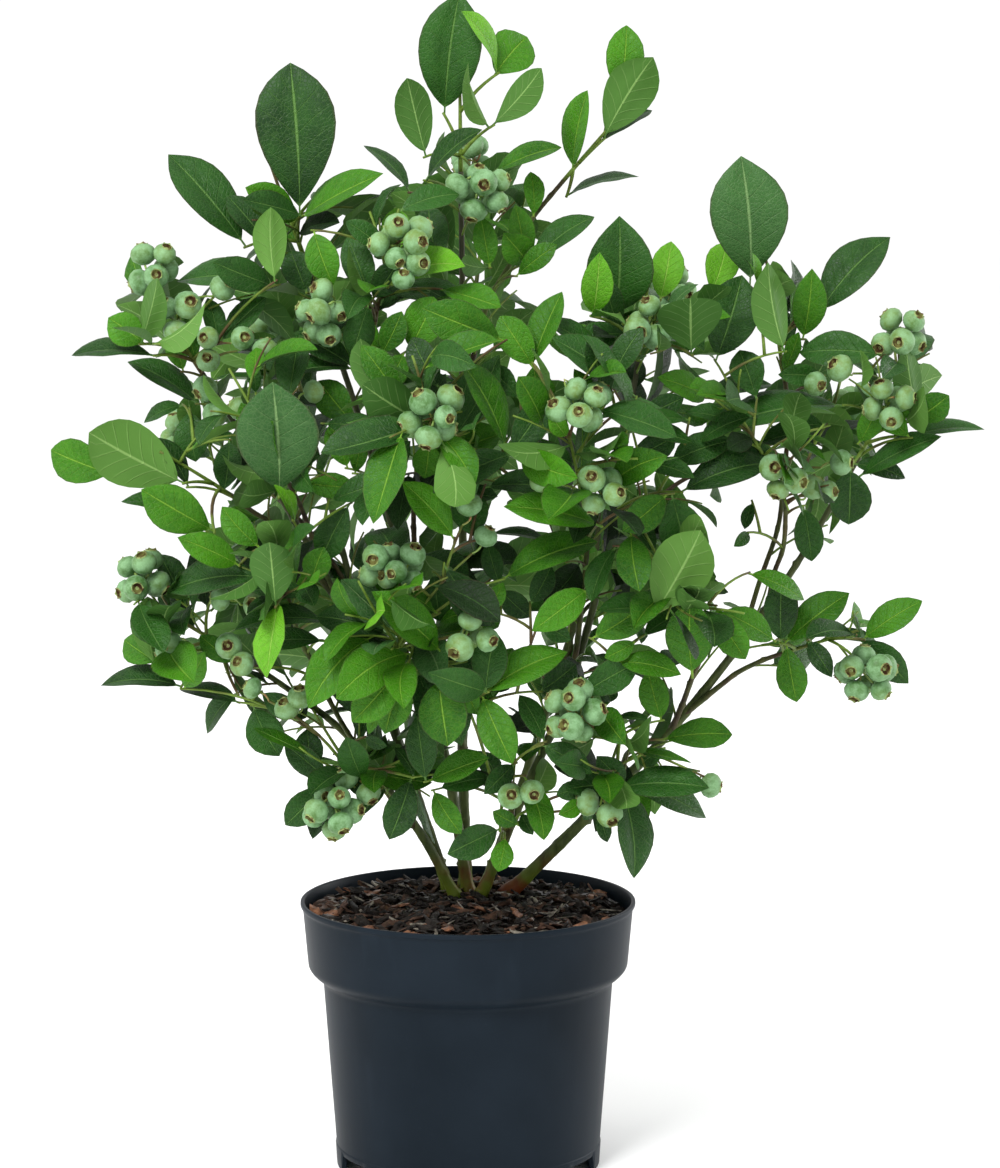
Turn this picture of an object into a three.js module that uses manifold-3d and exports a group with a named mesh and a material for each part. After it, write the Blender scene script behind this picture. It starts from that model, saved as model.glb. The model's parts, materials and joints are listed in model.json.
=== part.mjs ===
// A highbush blueberry in fruit, growing in its round nursery pot.
// Millimetres, +Z up. The origin is the middle of the pot's underside, and the plant faces -Y.
//
// Eight canes rise from one clump, boughs fork off them, and each limb ends where it enters a spray of
// foliage. A spray is one solid: a stem that meets the limb's tip, twigs, leaves and clusters of berries.
// It keeps to its own space, so no two sprays touch.
import * as THREE from "three";
import { mergeVertices } from "three/addons/utils/BufferGeometryUtils.js";
import Module from "manifold-3d";

const wasm = await Module();
wasm.setup();

// ---- Driving dimensions ---------------------------------------------------------------------------

const CLEARANCE = 0.3; // between solids that rest on or meet each other

// Pot: moulded in one, with a deep collar, a raised floor and three feet.
const POT_HEIGHT = 160;
const RIM_RADIUS = 100;
const COLLAR_DEPTH = 41;
const COLLAR_RADIUS = 95.3; // at the collar's lower edge
const WAIST_RADIUS = 86.6; // just under the collar
const FOOT_RADIUS = 78.4;
const WALL = 2;
const FLOOR_HEIGHT = 13; // of the floor's underside above the feet
const FLOOR_THICKNESS = 2.5;
const MIDDLE_FOOT_RADIUS = 14;
const NOTCHES = [60, 180, 300]; // degrees, the gaps between the three feet
const NOTCH_WIDTH = 34;
const NOTCH_SLANT = 5; // how much narrower a notch is at its top, on each side
const POT_SEGMENTS = 28;

// Substrate: level round the clump, and lower along the wall.
const SOIL_HEIGHT = 154;
const SOIL_EDGE_HEIGHT = 149;
const SOIL_LEVEL_RADIUS = 62;

// Limbs.
const CANE_SHARES = [0, 0.04, 0.2, 0.4, 0.6, 0.8, 1]; // of its length: where a limb has its rings
const BOUGH_SHARES = [0, 0.2, 0.4, 0.6, 0.8, 1];
const CANE_SIDES = 6;
const BOUGH_SIDES = 4;
const STEM_SIDES = 4;
const LIMB_KINK = 1.6; // how far a limb wanders at each node
const LIMB_HANDLE = 0.36; // of its span: how far a limb holds its heading at either end
const OWN_WAY = 0.75; // a bough sets off between the way to its spray
const PARENT_WAY = 0.65; // and the heading of the limb that it forks from
const TAPER = 0.9; // the power of the distance that a limb's radius falls with
const FLARE = 0.55; // how much thicker a cane is where it leaves the soil, as a share
const FLARE_HEIGHT = 0.02; // of the cane's length
const CANE_TIP_RADIUS = 1.5;
const BOUGH_TIP_RADIUS = 1.3;
const BOUGH_RADIUS = 2.4; // at its fork, and never over 0.8 of the parent's there

// Foliage.
const SPACE_MARGIN = 0.5; // from a spray to the edge of its space
const LOWEST_LEAF = 186;
const STEM_SHARE = 0.55; // of the reach: how far from the centre the limb ends
const CREST_SHARE = 0.3; // of the reach: how far beyond the centre the stem goes on
const TWIG_RADIUS = 1;
const TWIG_TIP_RADIUS = 0.8;
const TWIG_SPACING = 32; // of reach for each twig
const TWIG_TRIES = [1, 0.8, 0.6]; // shorter where a twig has no room
const TWIG_LENGTH = 0.5; // of the reach
const TWIG_GROWTH = 0.25; // of the reach: how much longer a twig may be
const TWIG_TILT = 75; // degrees from the stem, at the stem's foot
const TWIG_LIFT = 35; // degrees less at its crest
const FORK_DROP = 0.4; // of the stem: how far below its end a leading shoot forks off
const GOLDEN_ANGLE = 2.39996;
const LEAF_LENGTH = 68;
const LEAF_BREADTH = 0.54; // of its length
const LEAF_THICKNESS = 0.03; // of its length, at the middle
const LEAF_ARCH = 0.07; // of its length
const LEAF_FOLD = 0.08; // of its breadth: how far its edges stand over its midrib
const SMALLEST_LEAF = 0.75; // of LEAF_LENGTH
const LEAF_GROWTH = 0.4; // of LEAF_LENGTH: how much longer a leaf may be
const LEAF_SPREAD = 0.9; // how far a leaf leans out from its twig
const END_LEAF_SPREAD = 0.2; // the same, for the one at the twig's end
const LEAF_DROOP = 0.12;
const OUTWARD = 0.75; // a leaf faces out from the plant's middle,
const UPWARD = 0.65; // up,
const ASTRAY = 0.9; // and somewhat at random
const LEAF_SPACING = 15;
const LEADING_SPACING = 2.5; // between the leaves at the end of a leading shoot
const LEAF_REACH = 1.2; // of the reach: how far a leaf's tip may stand out
const LEAF_SINK = 1.8; // of its root, along the twig
const LEAF_GAP = 2.5; // from a leaf to the twigs, leaves and fruit round it
const LEAF_TRIES = [[0, 1], [0.8, 1], [-0.8, 1], [0, 0.72], [0.8, 0.72], [-0.8, 0.72]]; // swing, scale
const BLADE_ROWS = 9; // of the points that stand for a leaf's blade
const BLADE_COLUMNS = 7;
const OPEN_ROWS = 2; // rows at its root that may come near its twig
const BALL_POINTS = 40;
const LIMB_GAP = 2.5; // from a leaf to a limb
const TWIG_GAP = 2.5; // from a twig to a limb
const TWIG_MARGIN = 2; // from a twig to the edge of the spray's space
const BARE_LENGTH = 12; // of a twig, below its lowest leaf
const BERRY_RADIUS = 7.8;
const BERRIES_EACH = 3; // berries that one solid berry stands for
const CLUSTER_SPREAD = 6.4; // from a cluster's middle to its berries' middles

// Sprays of foliage: centre x, y, z and reach.
const SPRAYS = {
  top: [-4, -5, 628, 68],
  top_right: [80, 15, 612, 64],
  left_peak: [-108, -10, 578, 70],
  centre_upper: [-46, -50, 532, 60],
  left_upper: [-174, -30, 506, 70],
  left_mid: [-162, -50, 421, 65],
  left_front: [-108, -88, 438, 62],
  left_arm: [-171, -20, 330, 75],
  left_inner: [-102, -98, 362, 60],
  low_left: [-68, -50, 247, 60],
  centre_front: [-20, -110, 448, 70],
  centre_low: [-37, -100, 324, 75],
  right_front: [58, -120, 438, 70],
  right_low_front: [82, -80, 268, 60],
  low_centre: [18, -70, 244, 50],
  right_inner: [118, -90, 350, 65],
  right_upper: [102, -40, 518, 65],
  right_peak: [177, 0, 522, 70],
  right_arm: [247, -10, 459, 70],
  right_mid: [162, -60, 439, 60],
  right_low_arm: [215, -20, 319, 60],
  back_left_high: [-110, 120, 480, 65],
  back_right_high: [110, 130, 500, 65],
  back_left_low: [-130, 120, 330, 65],
  back_right_low: [95, 130, 340, 65],
  back_centre: [5, 190, 410, 70],
  back_top: [10, 95, 560, 70],
  back_left_side: [-165, 80, 420, 60],
  back_right_side: [210, 90, 430, 60],
};

// Canes, each named for the spray it ends in: foot x, y, radius, and the angle it leaves the soil at.
const CANES = {
  left_arm: [-8, 24, 3.0, 61],
  left_upper: [-12, 37, 3.1, 72],
  left_peak: [0, 31, 3.2, 80],
  top: [-2, 43, 3.4, 88],
  right_upper: [7, 21, 3.1, 62],
  right_arm: [25, 32, 3.8, 44],
  back_left_high: [-13, 51, 3.0, 66],
  back_right_high: [10, 48, 3.0, 64],
};

// Boughs, likewise: the limb it forks from, and how far along that limb.
const BOUGHS = {
  low_left: ["left_arm", 0.25],
  left_inner: ["left_arm", 0.45],
  left_mid: ["left_upper", 0.55],
  left_front: ["left_upper", 0.45],
  centre_upper: ["left_peak", 0.65],
  centre_front: ["left_peak", 0.35],
  centre_low: ["top", 0.2],
  low_centre: ["right_upper", 0.12],
  right_front: ["right_upper", 0.4],
  right_low_front: ["right_arm", 0.22],
  right_inner: ["right_arm", 0.42],
  right_low_arm: ["right_arm", 0.45],
  right_mid: ["right_arm", 0.7],
  right_peak: ["right_arm", 0.62],
  top_right: ["top", 0.7],
  back_top: ["top", 0.6],
  back_left_low: ["back_left_high", 0.45],
  back_left_side: ["back_left_high", 0.6],
  back_right_low: ["back_right_high", 0.45],
  back_centre: ["back_right_high", 0.5],
  back_right_side: ["back_right_high", 0.6],
};

// Leading shoots of a spray: where the shoot ends, then the tip of each leaf there and the breadth that
// the leaf shows to the front.
const SHOOTS = {
  top: [
    [[-17, -5, 625], [-10, -15, 693, 38]],
    [[19, -10, 648], [-3, -25, 682, 14], [35, 10, 669, 27]],
    [[16, -10, 618], [43, -22, 650, 18], [3, -30, 653, 12]],
    [[-25, -20, 599], [-34, -35, 644, 21]],
  ],
  top_right: [
    [[58, 15, 591], [66, 0, 637, 16]],
    [[80, 15, 611], [103, 0, 656, 30], [93, 30, 677, 23], [106, 30, 626, 12]],
    [[56, 20, 573], [100, 20, 588, 8]],
  ],
  left_peak: [
    [[-94, -25, 566], [-98, -25, 653, 47], [-56, -20, 588, 16], [-126, -45, 582, 18]],
    [[-132, -10, 556], [-174, 0, 601, 23]],
  ],
  left_upper: [
    [[-187, -50, 493], [-175, -60, 531, 16], [-205, -45, 508, 20]],
    [[-182, -40, 481], [-227, -40, 491, 9]],
  ],
  left_mid: [
    [[-162, -60, 414], [-214, -70, 445, 38]],
    [[-142, -84, 388], [-182, -96, 414, 23]],
    [[-205, -40, 414], [-240, -30, 428, 28]],
  ],
  left_front: [[[-104, -108, 410], [-106, -124, 476, 46]]],
  left_inner: [
    [[-106, -118, 350], [-108, -132, 388, 25]],
  ],
  left_arm: [
    [[-183, -40, 305], [-184, -50, 348, 18], [-200, -30, 320, 18]],
    [[-167, -35, 292], [-214, -30, 296, 9]],
    [[-133, -35, 288], [-153, -20, 263, 11]],
  ],
  low_left: [
    [[-82, -60, 239], [-105, -60, 216, 18]],
    [[-30, -78, 247], [-44, -88, 213, 19]],
  ],
  centre_low: [
    [[-52, -125, 319], [-50, -130, 282, 29]],
    [[-14, -120, 310], [-10, -125, 273, 27]],
  ],
  low_centre: [
    [[19, -70, 214], [-11, -90, 205, 19]],
    [[34, -88, 250], [44, -100, 215, 15]],
  ],
  right_low_front: [
    [[86, -95, 243], [137, -105, 246, 16], [137, -80, 221, 14], [98, -100, 193, 21]],
    [[114, -60, 266], [153, -60, 269, 16]],
  ],
  right_inner: [
    [[104, -110, 344], [130, -125, 394, 34]],
    [[128, -90, 306], [126, -100, 352, 27]],
  ],
  right_low_arm: [
    [[182, -30, 318], [183, -35, 357, 20], [223, -25, 347, 18], [192, -35, 284, 18]],
    [[232, -30, 320], [262, -30, 340, 16], [257, -35, 295, 18]],
  ],
  right_peak: [
    [[165, -15, 526], [161, -20, 600, 45]],
    [[207, 0, 514], [250, 10, 554, 25]],
    [[140, -5, 520], [152, 10, 550, 20]],
  ],
  right_upper: [
    [[89, -40, 509], [92, -50, 565, 36]],
    [[70, -70, 510], [75, -80, 546, 18]],
    [[128, -76, 488], [125, -95, 521, 36]],
    [[112, -28, 518], [118, -20, 551, 19]],
  ],
  right_arm: [
    [[262, -30, 448], [252, -40, 491, 18], [280, -20, 462, 18]],
    [[259, -20, 438], [301, -20, 444, 8]],
    [[223, -15, 418], [220, -15, 388, 25], [256, -14, 413, 11]],
  ],
};

// Clusters of fruit in a spray: middle x, y, z and the number of berries.
const CLUSTERS = {
  top: [[8, -36, 582, 8]],
  centre_upper: [[-37, -78, 552, 7], [-80, -76, 512, 7]],
  left_upper: [[-181, -45, 540, 5], [-169, -55, 501, 4], [-149, -60, 490, 4]],
  left_arm: [[-188, -40, 359, 6], [-166, -50, 323, 4], [-131, -55, 306, 5]],
  low_left: [[-75, -85, 235, 7]],
  centre_front: [[-18, -135, 458, 7]],
  centre_low: [[-36, -122, 373, 6], [2, -125, 336, 4]],
  low_centre: [[26, -98, 240, 3]],
  right_front: [[63, -140, 464, 7], [74, -130, 418, 4]],
  right_low_front: [[61, -115, 291, 8]],
  right_upper: [[107, -70, 508, 5]],
  right_arm: [[253, -30, 496, 6], [243, -40, 459, 4], [228, -52, 446, 4]],
  right_low_arm: [[229, -45, 310, 7]],
  right_mid: [[178, -80, 420, 3]],
  back_left_high: [[-126, 160, 500, 6]],
  back_right_high: [[128, 168, 515, 7]],
  back_left_low: [[-150, 155, 345, 5]],
  back_right_low: [[112, 172, 352, 6]],
  back_centre: [[-12, 215, 440, 6]],
  back_top: [[2, 128, 600, 5]],
  back_left_side: [[-196, 96, 440, 5]],
  back_right_side: [[240, 112, 450, 5]],
};

const UP = new THREE.Vector3(0, 0, 1);
const FRONT = new THREE.Vector3(0, -1, 0);

// ---- Solids ---------------------------------------------------------------------------------------

// A geometry as a manifold solid.
function solid(geometry) {
  geometry.deleteAttribute("normal");
  geometry.deleteAttribute("uv");
  const merged = mergeVertices(geometry, 1e-4);
  return new wasm.Manifold(
    new wasm.Mesh({
      numProp: 3,
      vertProperties: merged.attributes.position.array,
      triVerts: new Uint32Array(merged.index.array),
    }),
  );
}

// The outer skin of a solid's largest body as a geometry: it leaves out scraps and sealed hollows.
function geometryOf(made) {
  const bodies = made.decompose().sort((a, b) => b.volume() - a.volume());
  const mesh = bodies[0].simplify(0.01).getMesh();
  return new THREE.BufferGeometry()
    .setAttribute("position", new THREE.BufferAttribute(mesh.vertProperties, 3))
    .setIndex(new THREE.BufferAttribute(mesh.triVerts, 1));
}

// A round tube along a run of points, with a radius at each. It is a cylinder bent onto the points.
function tube(points, radii, sides) {
  const steps = points.length - 1;
  const geometry = new THREE.CylinderGeometry(1, 1, 1, sides, steps);
  const tangents = points.map((_, i) =>
    points[Math.min(i + 1, steps)].clone().sub(points[Math.max(i - 1, 0)]).normalize(),
  );
  const side = Math.abs(tangents[0].x) < 0.8 ? new THREE.Vector3(1, 0, 0) : new THREE.Vector3(0, 1, 0);
  const frames = tangents.map((tangent) => {
    side.addScaledVector(tangent, -side.dot(tangent)).normalize();
    return [side.clone(), side.clone().cross(tangent)];
  });
  const place = geometry.attributes.position;
  for (let i = 0; i < place.count; i++) {
    const ring = Math.round((place.getY(i) + 0.5) * steps);
    const [across, over] = frames[ring];
    const p = points[ring].clone();
    p.addScaledVector(across, place.getX(i) * radii[ring]);
    p.addScaledVector(over, place.getZ(i) * radii[ring]);
    place.setXYZ(i, p.x, p.y, p.z);
  }
  return geometry;
}

// Lays the lower end of a tube flat at a height, by sliding its first ring along the tube.
function cutLevel(geometry, points, height) {
  const along = points[1].clone().sub(points[0]).normalize();
  const reach = points[1].distanceTo(points[0]) / 2;
  const place = geometry.attributes.position;
  const p = new THREE.Vector3();
  for (let i = 0; i < place.count; i++) {
    p.fromBufferAttribute(place, i);
    if (p.clone().sub(points[0]).dot(along) > reach) continue;
    p.addScaledVector(along, (height - p.z) / along.z);
    place.setXYZ(i, p.x, p.y, p.z);
  }
  return geometry;
}

// A leaf: a thin blade, arched along its length and folded a little at the midrib. It is a sphere of
// two rows laid flat, with an outline of four corners, or six on a leading leaf.
function leafGeometry({ base, tip, breadth, face, corners = 4 }) {
  const along = tip.clone().sub(base);
  const length = along.length();
  along.normalize();
  const normal = face.clone().addScaledVector(along, -face.dot(along)).normalize();
  const across = along.clone().cross(normal);
  const geometry = new THREE.SphereGeometry(1, corners, 2);
  const place = geometry.attributes.position;
  const broadest = corners === 4 ? 0.44 : 0.5;
  for (let i = 0; i < place.count; i++) {
    const pole = place.getY(i);
    const end = Math.abs(place.getX(i)) > 0.9;
    const u = end ? 0.5 + 0.5 * place.getX(i) : broadest + 0.4 * place.getX(i);
    const v = place.getZ(i) / Math.sin((2 * Math.PI) / corners);
    const arch = length * (LEAF_ARCH * 4 * u * (1 - u) + 0.5 * LEAF_THICKNESS * pole);
    const p = base.clone().addScaledVector(along, u * length);
    p.addScaledVector(across, 0.5 * breadth * v);
    p.addScaledVector(normal, arch + LEAF_FOLD * breadth * Math.abs(v));
    place.setXYZ(i, p.x, p.y, p.z);
  }
  return geometry;
}

// ---- Pot and substrate ----------------------------------------------------------------------------

// A body of revolution, from a half section of [radius, height] points that is closed or ends on the axis.
function turned(section) {
  const points = section.map(([radius, height]) => new THREE.Vector2(radius, height));
  return new THREE.LatheGeometry(points, POT_SEGMENTS).rotateX(Math.PI / 2);
}

const collarEdge = POT_HEIGHT - COLLAR_DEPTH;
const floorTop = FLOOR_HEIGHT + FLOOR_THICKNESS;

function potGeometry() {
  const body = solid(
    turned([
      [0, 0],
      [MIDDLE_FOOT_RADIUS, 0],
      [MIDDLE_FOOT_RADIUS + 2, FLOOR_HEIGHT],
      [FOOT_RADIUS - WALL, FLOOR_HEIGHT],
      [FOOT_RADIUS - WALL, 0],
      [FOOT_RADIUS, 0],
      [FOOT_RADIUS + 0.8, FLOOR_HEIGHT],
      [WAIST_RADIUS, collarEdge - 7],
      [COLLAR_RADIUS - 2, collarEdge - 2],
      [COLLAR_RADIUS, collarEdge + 1],
      [RIM_RADIUS - 1.8, POT_HEIGHT - 4],
      [RIM_RADIUS, POT_HEIGHT - 3],
      [RIM_RADIUS, POT_HEIGHT],
      [RIM_RADIUS - 3.6, POT_HEIGHT],
      [COLLAR_RADIUS - WALL, collarEdge + 3],
      [WAIST_RADIUS - WALL, collarEdge - 7],
      [FOOT_RADIUS + 0.8 - WALL, floorTop],
      [0, floorTop],
    ]),
  );
  // Each notch is a wedge cut out of the skirt, narrower at its top.
  const notches = NOTCHES.map((degrees) => {
    const outline = new THREE.Shape();
    outline.moveTo(-0.5 * NOTCH_WIDTH, -5);
    outline.lineTo(0.5 * NOTCH_WIDTH, -5);
    outline.lineTo(0.5 * NOTCH_WIDTH - NOTCH_SLANT, FLOOR_HEIGHT - 3);
    outline.lineTo(-0.5 * NOTCH_WIDTH + NOTCH_SLANT, FLOOR_HEIGHT - 3);
    const wedge = new THREE.ExtrudeGeometry(outline, { depth: 30, bevelEnabled: false });
    wedge.rotateX(Math.PI / 2).translate(0, -FOOT_RADIUS + 15, 0);
    return solid(wedge.rotateZ(THREE.MathUtils.degToRad(degrees)));
  });
  return geometryOf(body.subtract(wasm.Manifold.union(notches)));
}

function substrateGeometry() {
  const inside = WALL + CLEARANCE;
  const shoulder = collarEdge + 3;
  const flare = (RIM_RADIUS - 3.6 - COLLAR_RADIUS + WALL) / (POT_HEIGHT - shoulder);
  const outline = [
    [0, floorTop + CLEARANCE],
    [FOOT_RADIUS + 0.8 - inside, floorTop + CLEARANCE],
    [WAIST_RADIUS - inside, collarEdge - 7],
    [COLLAR_RADIUS - inside, shoulder + CLEARANCE],
    [COLLAR_RADIUS - inside + flare * (SOIL_EDGE_HEIGHT - shoulder), SOIL_EDGE_HEIGHT],
    [SOIL_LEVEL_RADIUS, SOIL_HEIGHT],
    [0, SOIL_HEIGHT],
  ];
  return geometryOf(solid(turned(outline)));
}

// ---- Growth ---------------------------------------------------------------------------------------

// Numbers from 0 to 1 in a fixed order: the multiplicative generator with factor 16807.
function series(seed) {
  let state = (seed * 48271) % 2147483647;
  const next = () => {
    state = (state * 16807) % 2147483647;
    return state / 2147483647;
  };
  for (let i = 0; i < 3; i++) next();
  return next;
}

const names = Object.keys(SPRAYS);
const spaces = names.map((name) => ({
  name,
  centre: new THREE.Vector3(...SPRAYS[name].slice(0, 3)),
  reach: SPRAYS[name][3],
}));
const spaceOf = (name) => spaces[names.indexOf(name)];

// Whether a point is in a spray's own space: nearer to it than to any other, each distance weighed by
// the spray's reach, so that the spaces are convex cells with flat walls.
function inSpace(own, p, margin = SPACE_MARGIN) {
  if (p.z < LOWEST_LEAF) return false;
  const weight = p.distanceToSquared(own.centre) - own.reach ** 2;
  return spaces.every((other) => {
    if (other === own) return true;
    const gap = p.distanceToSquared(other.centre) - other.reach ** 2 - weight;
    return gap >= 2 * margin * own.centre.distanceTo(other.centre);
  });
}

const limbs = {};

// Whether every point keeps a gap from all the limbs.
function clearOfLimbs(points, gap) {
  const near = new THREE.Vector3();
  const line = new THREE.Line3();
  return Object.values(limbs).every((limb) =>
    limb.points.every((start, i) => {
      if (i === 0) return true;
      line.set(limb.points[i - 1], start);
      return points.every((p) => {
        line.closestPointToPoint(p, true, near);
        return near.distanceTo(p) >= limb.radii[i - 1] + gap;
      });
    }),
  );
}

function lengthOf(points) {
  return points.slice(1).reduce((sum, p, i) => sum + p.distanceTo(points[i]), 0);
}

// The point a share of the way along a run of points, the direction there, and the stretch it is on.
function along(points, share) {
  const stretch = (i) => points[i].distanceTo(points[i + 1]);
  let rest = THREE.MathUtils.clamp(share, 0, 1) * lengthOf(points);
  let i = 0;
  while (i < points.length - 2 && rest > stretch(i)) {
    rest -= stretch(i);
    i += 1;
  }
  const point = points[i].clone().lerp(points[i + 1], rest / stretch(i));
  return { point, direction: points[i + 1].clone().sub(points[i]).normalize(), i };
}

// Points every few millimetres along a run of points.
function dotted(points) {
  const count = Math.ceil(lengthOf(points) / 5);
  return Array.from({ length: count + 1 }, (_, i) => along(points, i / count).point);
}

// A limb from a start to the edge of its spray: an arc that leaves in one direction and arrives turned
// as far past the straight line, and wanders a little at its nodes.
function limbTo(name, start, leave, shares, radii, next) {
  const { centre, reach } = spaceOf(name);
  const straight = centre.clone().sub(start).normalize();
  const arrive = straight.clone().multiplyScalar(2 * leave.dot(straight)).sub(leave).normalize();
  const end = centre.clone().addScaledVector(arrive, -STEM_SHARE * reach);
  const handle = LIMB_HANDLE * start.distanceTo(end);
  const curve = new THREE.CubicBezierCurve3(
    start,
    start.clone().addScaledVector(leave, handle),
    end.clone().addScaledVector(arrive, -handle),
    end,
  );
  const points = shares.map((share) => {
    const kink = new THREE.Vector3(next() - 0.5, next() - 0.5, next() - 0.5);
    const inner = share > 0.1 && share < 1;
    return curve.getPoint(share).addScaledVector(kink, inner ? 2 * LIMB_KINK : 0);
  });
  limbs[name] = { points, radii };
}

function taper(shares, from, to, flare = 0) {
  return shares.map((t) => from + (to - from) * t ** TAPER + from * flare * Math.exp(-t / FLARE_HEIGHT));
}

function growLimbs() {
  const next = series(5);
  for (const [name, [x, y, radius, degrees]] of Object.entries(CANES)) {
    const foot = new THREE.Vector3(x, y, SOIL_HEIGHT + CLEARANCE);
    const angle = THREE.MathUtils.degToRad(degrees);
    const leave = spaceOf(name).centre.clone().sub(foot).setZ(0).normalize();
    leave.multiplyScalar(Math.cos(angle)).addScaledVector(UP, Math.sin(angle));
    limbTo(name, foot, leave, CANE_SHARES, taper(CANE_SHARES, radius, CANE_TIP_RADIUS, FLARE), next);
  }
  for (const [name, [parent, share]] of Object.entries(BOUGHS)) {
    const fork = along(limbs[parent].points, share);
    const straight = spaceOf(name).centre.clone().sub(fork.point).normalize();
    const leave = straight.multiplyScalar(OWN_WAY).addScaledVector(fork.direction, PARENT_WAY).normalize();
    const radius = Math.min(BOUGH_RADIUS, 0.8 * limbs[parent].radii[fork.i + 1]);
    const radii = taper(BOUGH_SHARES, radius, Math.min(radius, BOUGH_TIP_RADIUS));
    limbTo(name, fork.point, leave, BOUGH_SHARES, radii, next);
  }
}

// A cane is cut level at the soil, and a bough is cut to the limb that it forks from.
function limbGeometry(name) {
  const { points, radii } = limbs[name];
  if (name in CANES) return cutLevel(tube(points, radii, CANE_SIDES), points, points[0].z);
  const [parent] = BOUGHS[name];
  const thick = limbs[parent].radii.map((radius) => radius + CLEARANCE);
  const cutter = tube(limbs[parent].points, thick, parent in CANES ? CANE_SIDES : BOUGH_SIDES);
  return geometryOf(solid(tube(points, radii, BOUGH_SIDES)).subtract(solid(cutter)));
}

// Points all over a leaf's blade, row by row from its base.
function blade({ base, tip, breadth, face }) {
  const axis = tip.clone().sub(base);
  const length = axis.length();
  const normal = face.clone().addScaledVector(axis, -face.dot(axis) / length ** 2).normalize();
  const across = axis.clone().normalize().cross(normal);
  const points = [];
  for (let row = 0; row < BLADE_ROWS; row++) {
    const u = row / (BLADE_ROWS - 1);
    const half = 0.5 * breadth * Math.min(1, u / 0.3, (1 - u) / 0.3);
    for (let column = 0; column < BLADE_COLUMNS; column++) {
      const v = (2 * column) / (BLADE_COLUMNS - 1) - 1;
      const p = base.clone().addScaledVector(axis, u).addScaledVector(across, v * half);
      points.push(p.addScaledVector(normal, length * LEAF_ARCH * 4 * u * (1 - u)));
    }
  }
  return points;
}

// Point i of a spiral round a ball of radius 1, at a height from -1 to 1.
function onBall(i, height) {
  const ring = Math.sqrt(1 - height * height);
  return new THREE.Vector3(ring * Math.cos(i * GOLDEN_ANGLE), ring * Math.sin(i * GOLDEN_ANGLE), height);
}

// Points all over a ball.
function ballPoints(middle, radius) {
  return Array.from({ length: BALL_POINTS }, (_, i) => {
    const p = onBall(i, 1 - (2 * (i + 0.5)) / BALL_POINTS);
    return p.multiplyScalar(radius).add(middle);
  });
}

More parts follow.
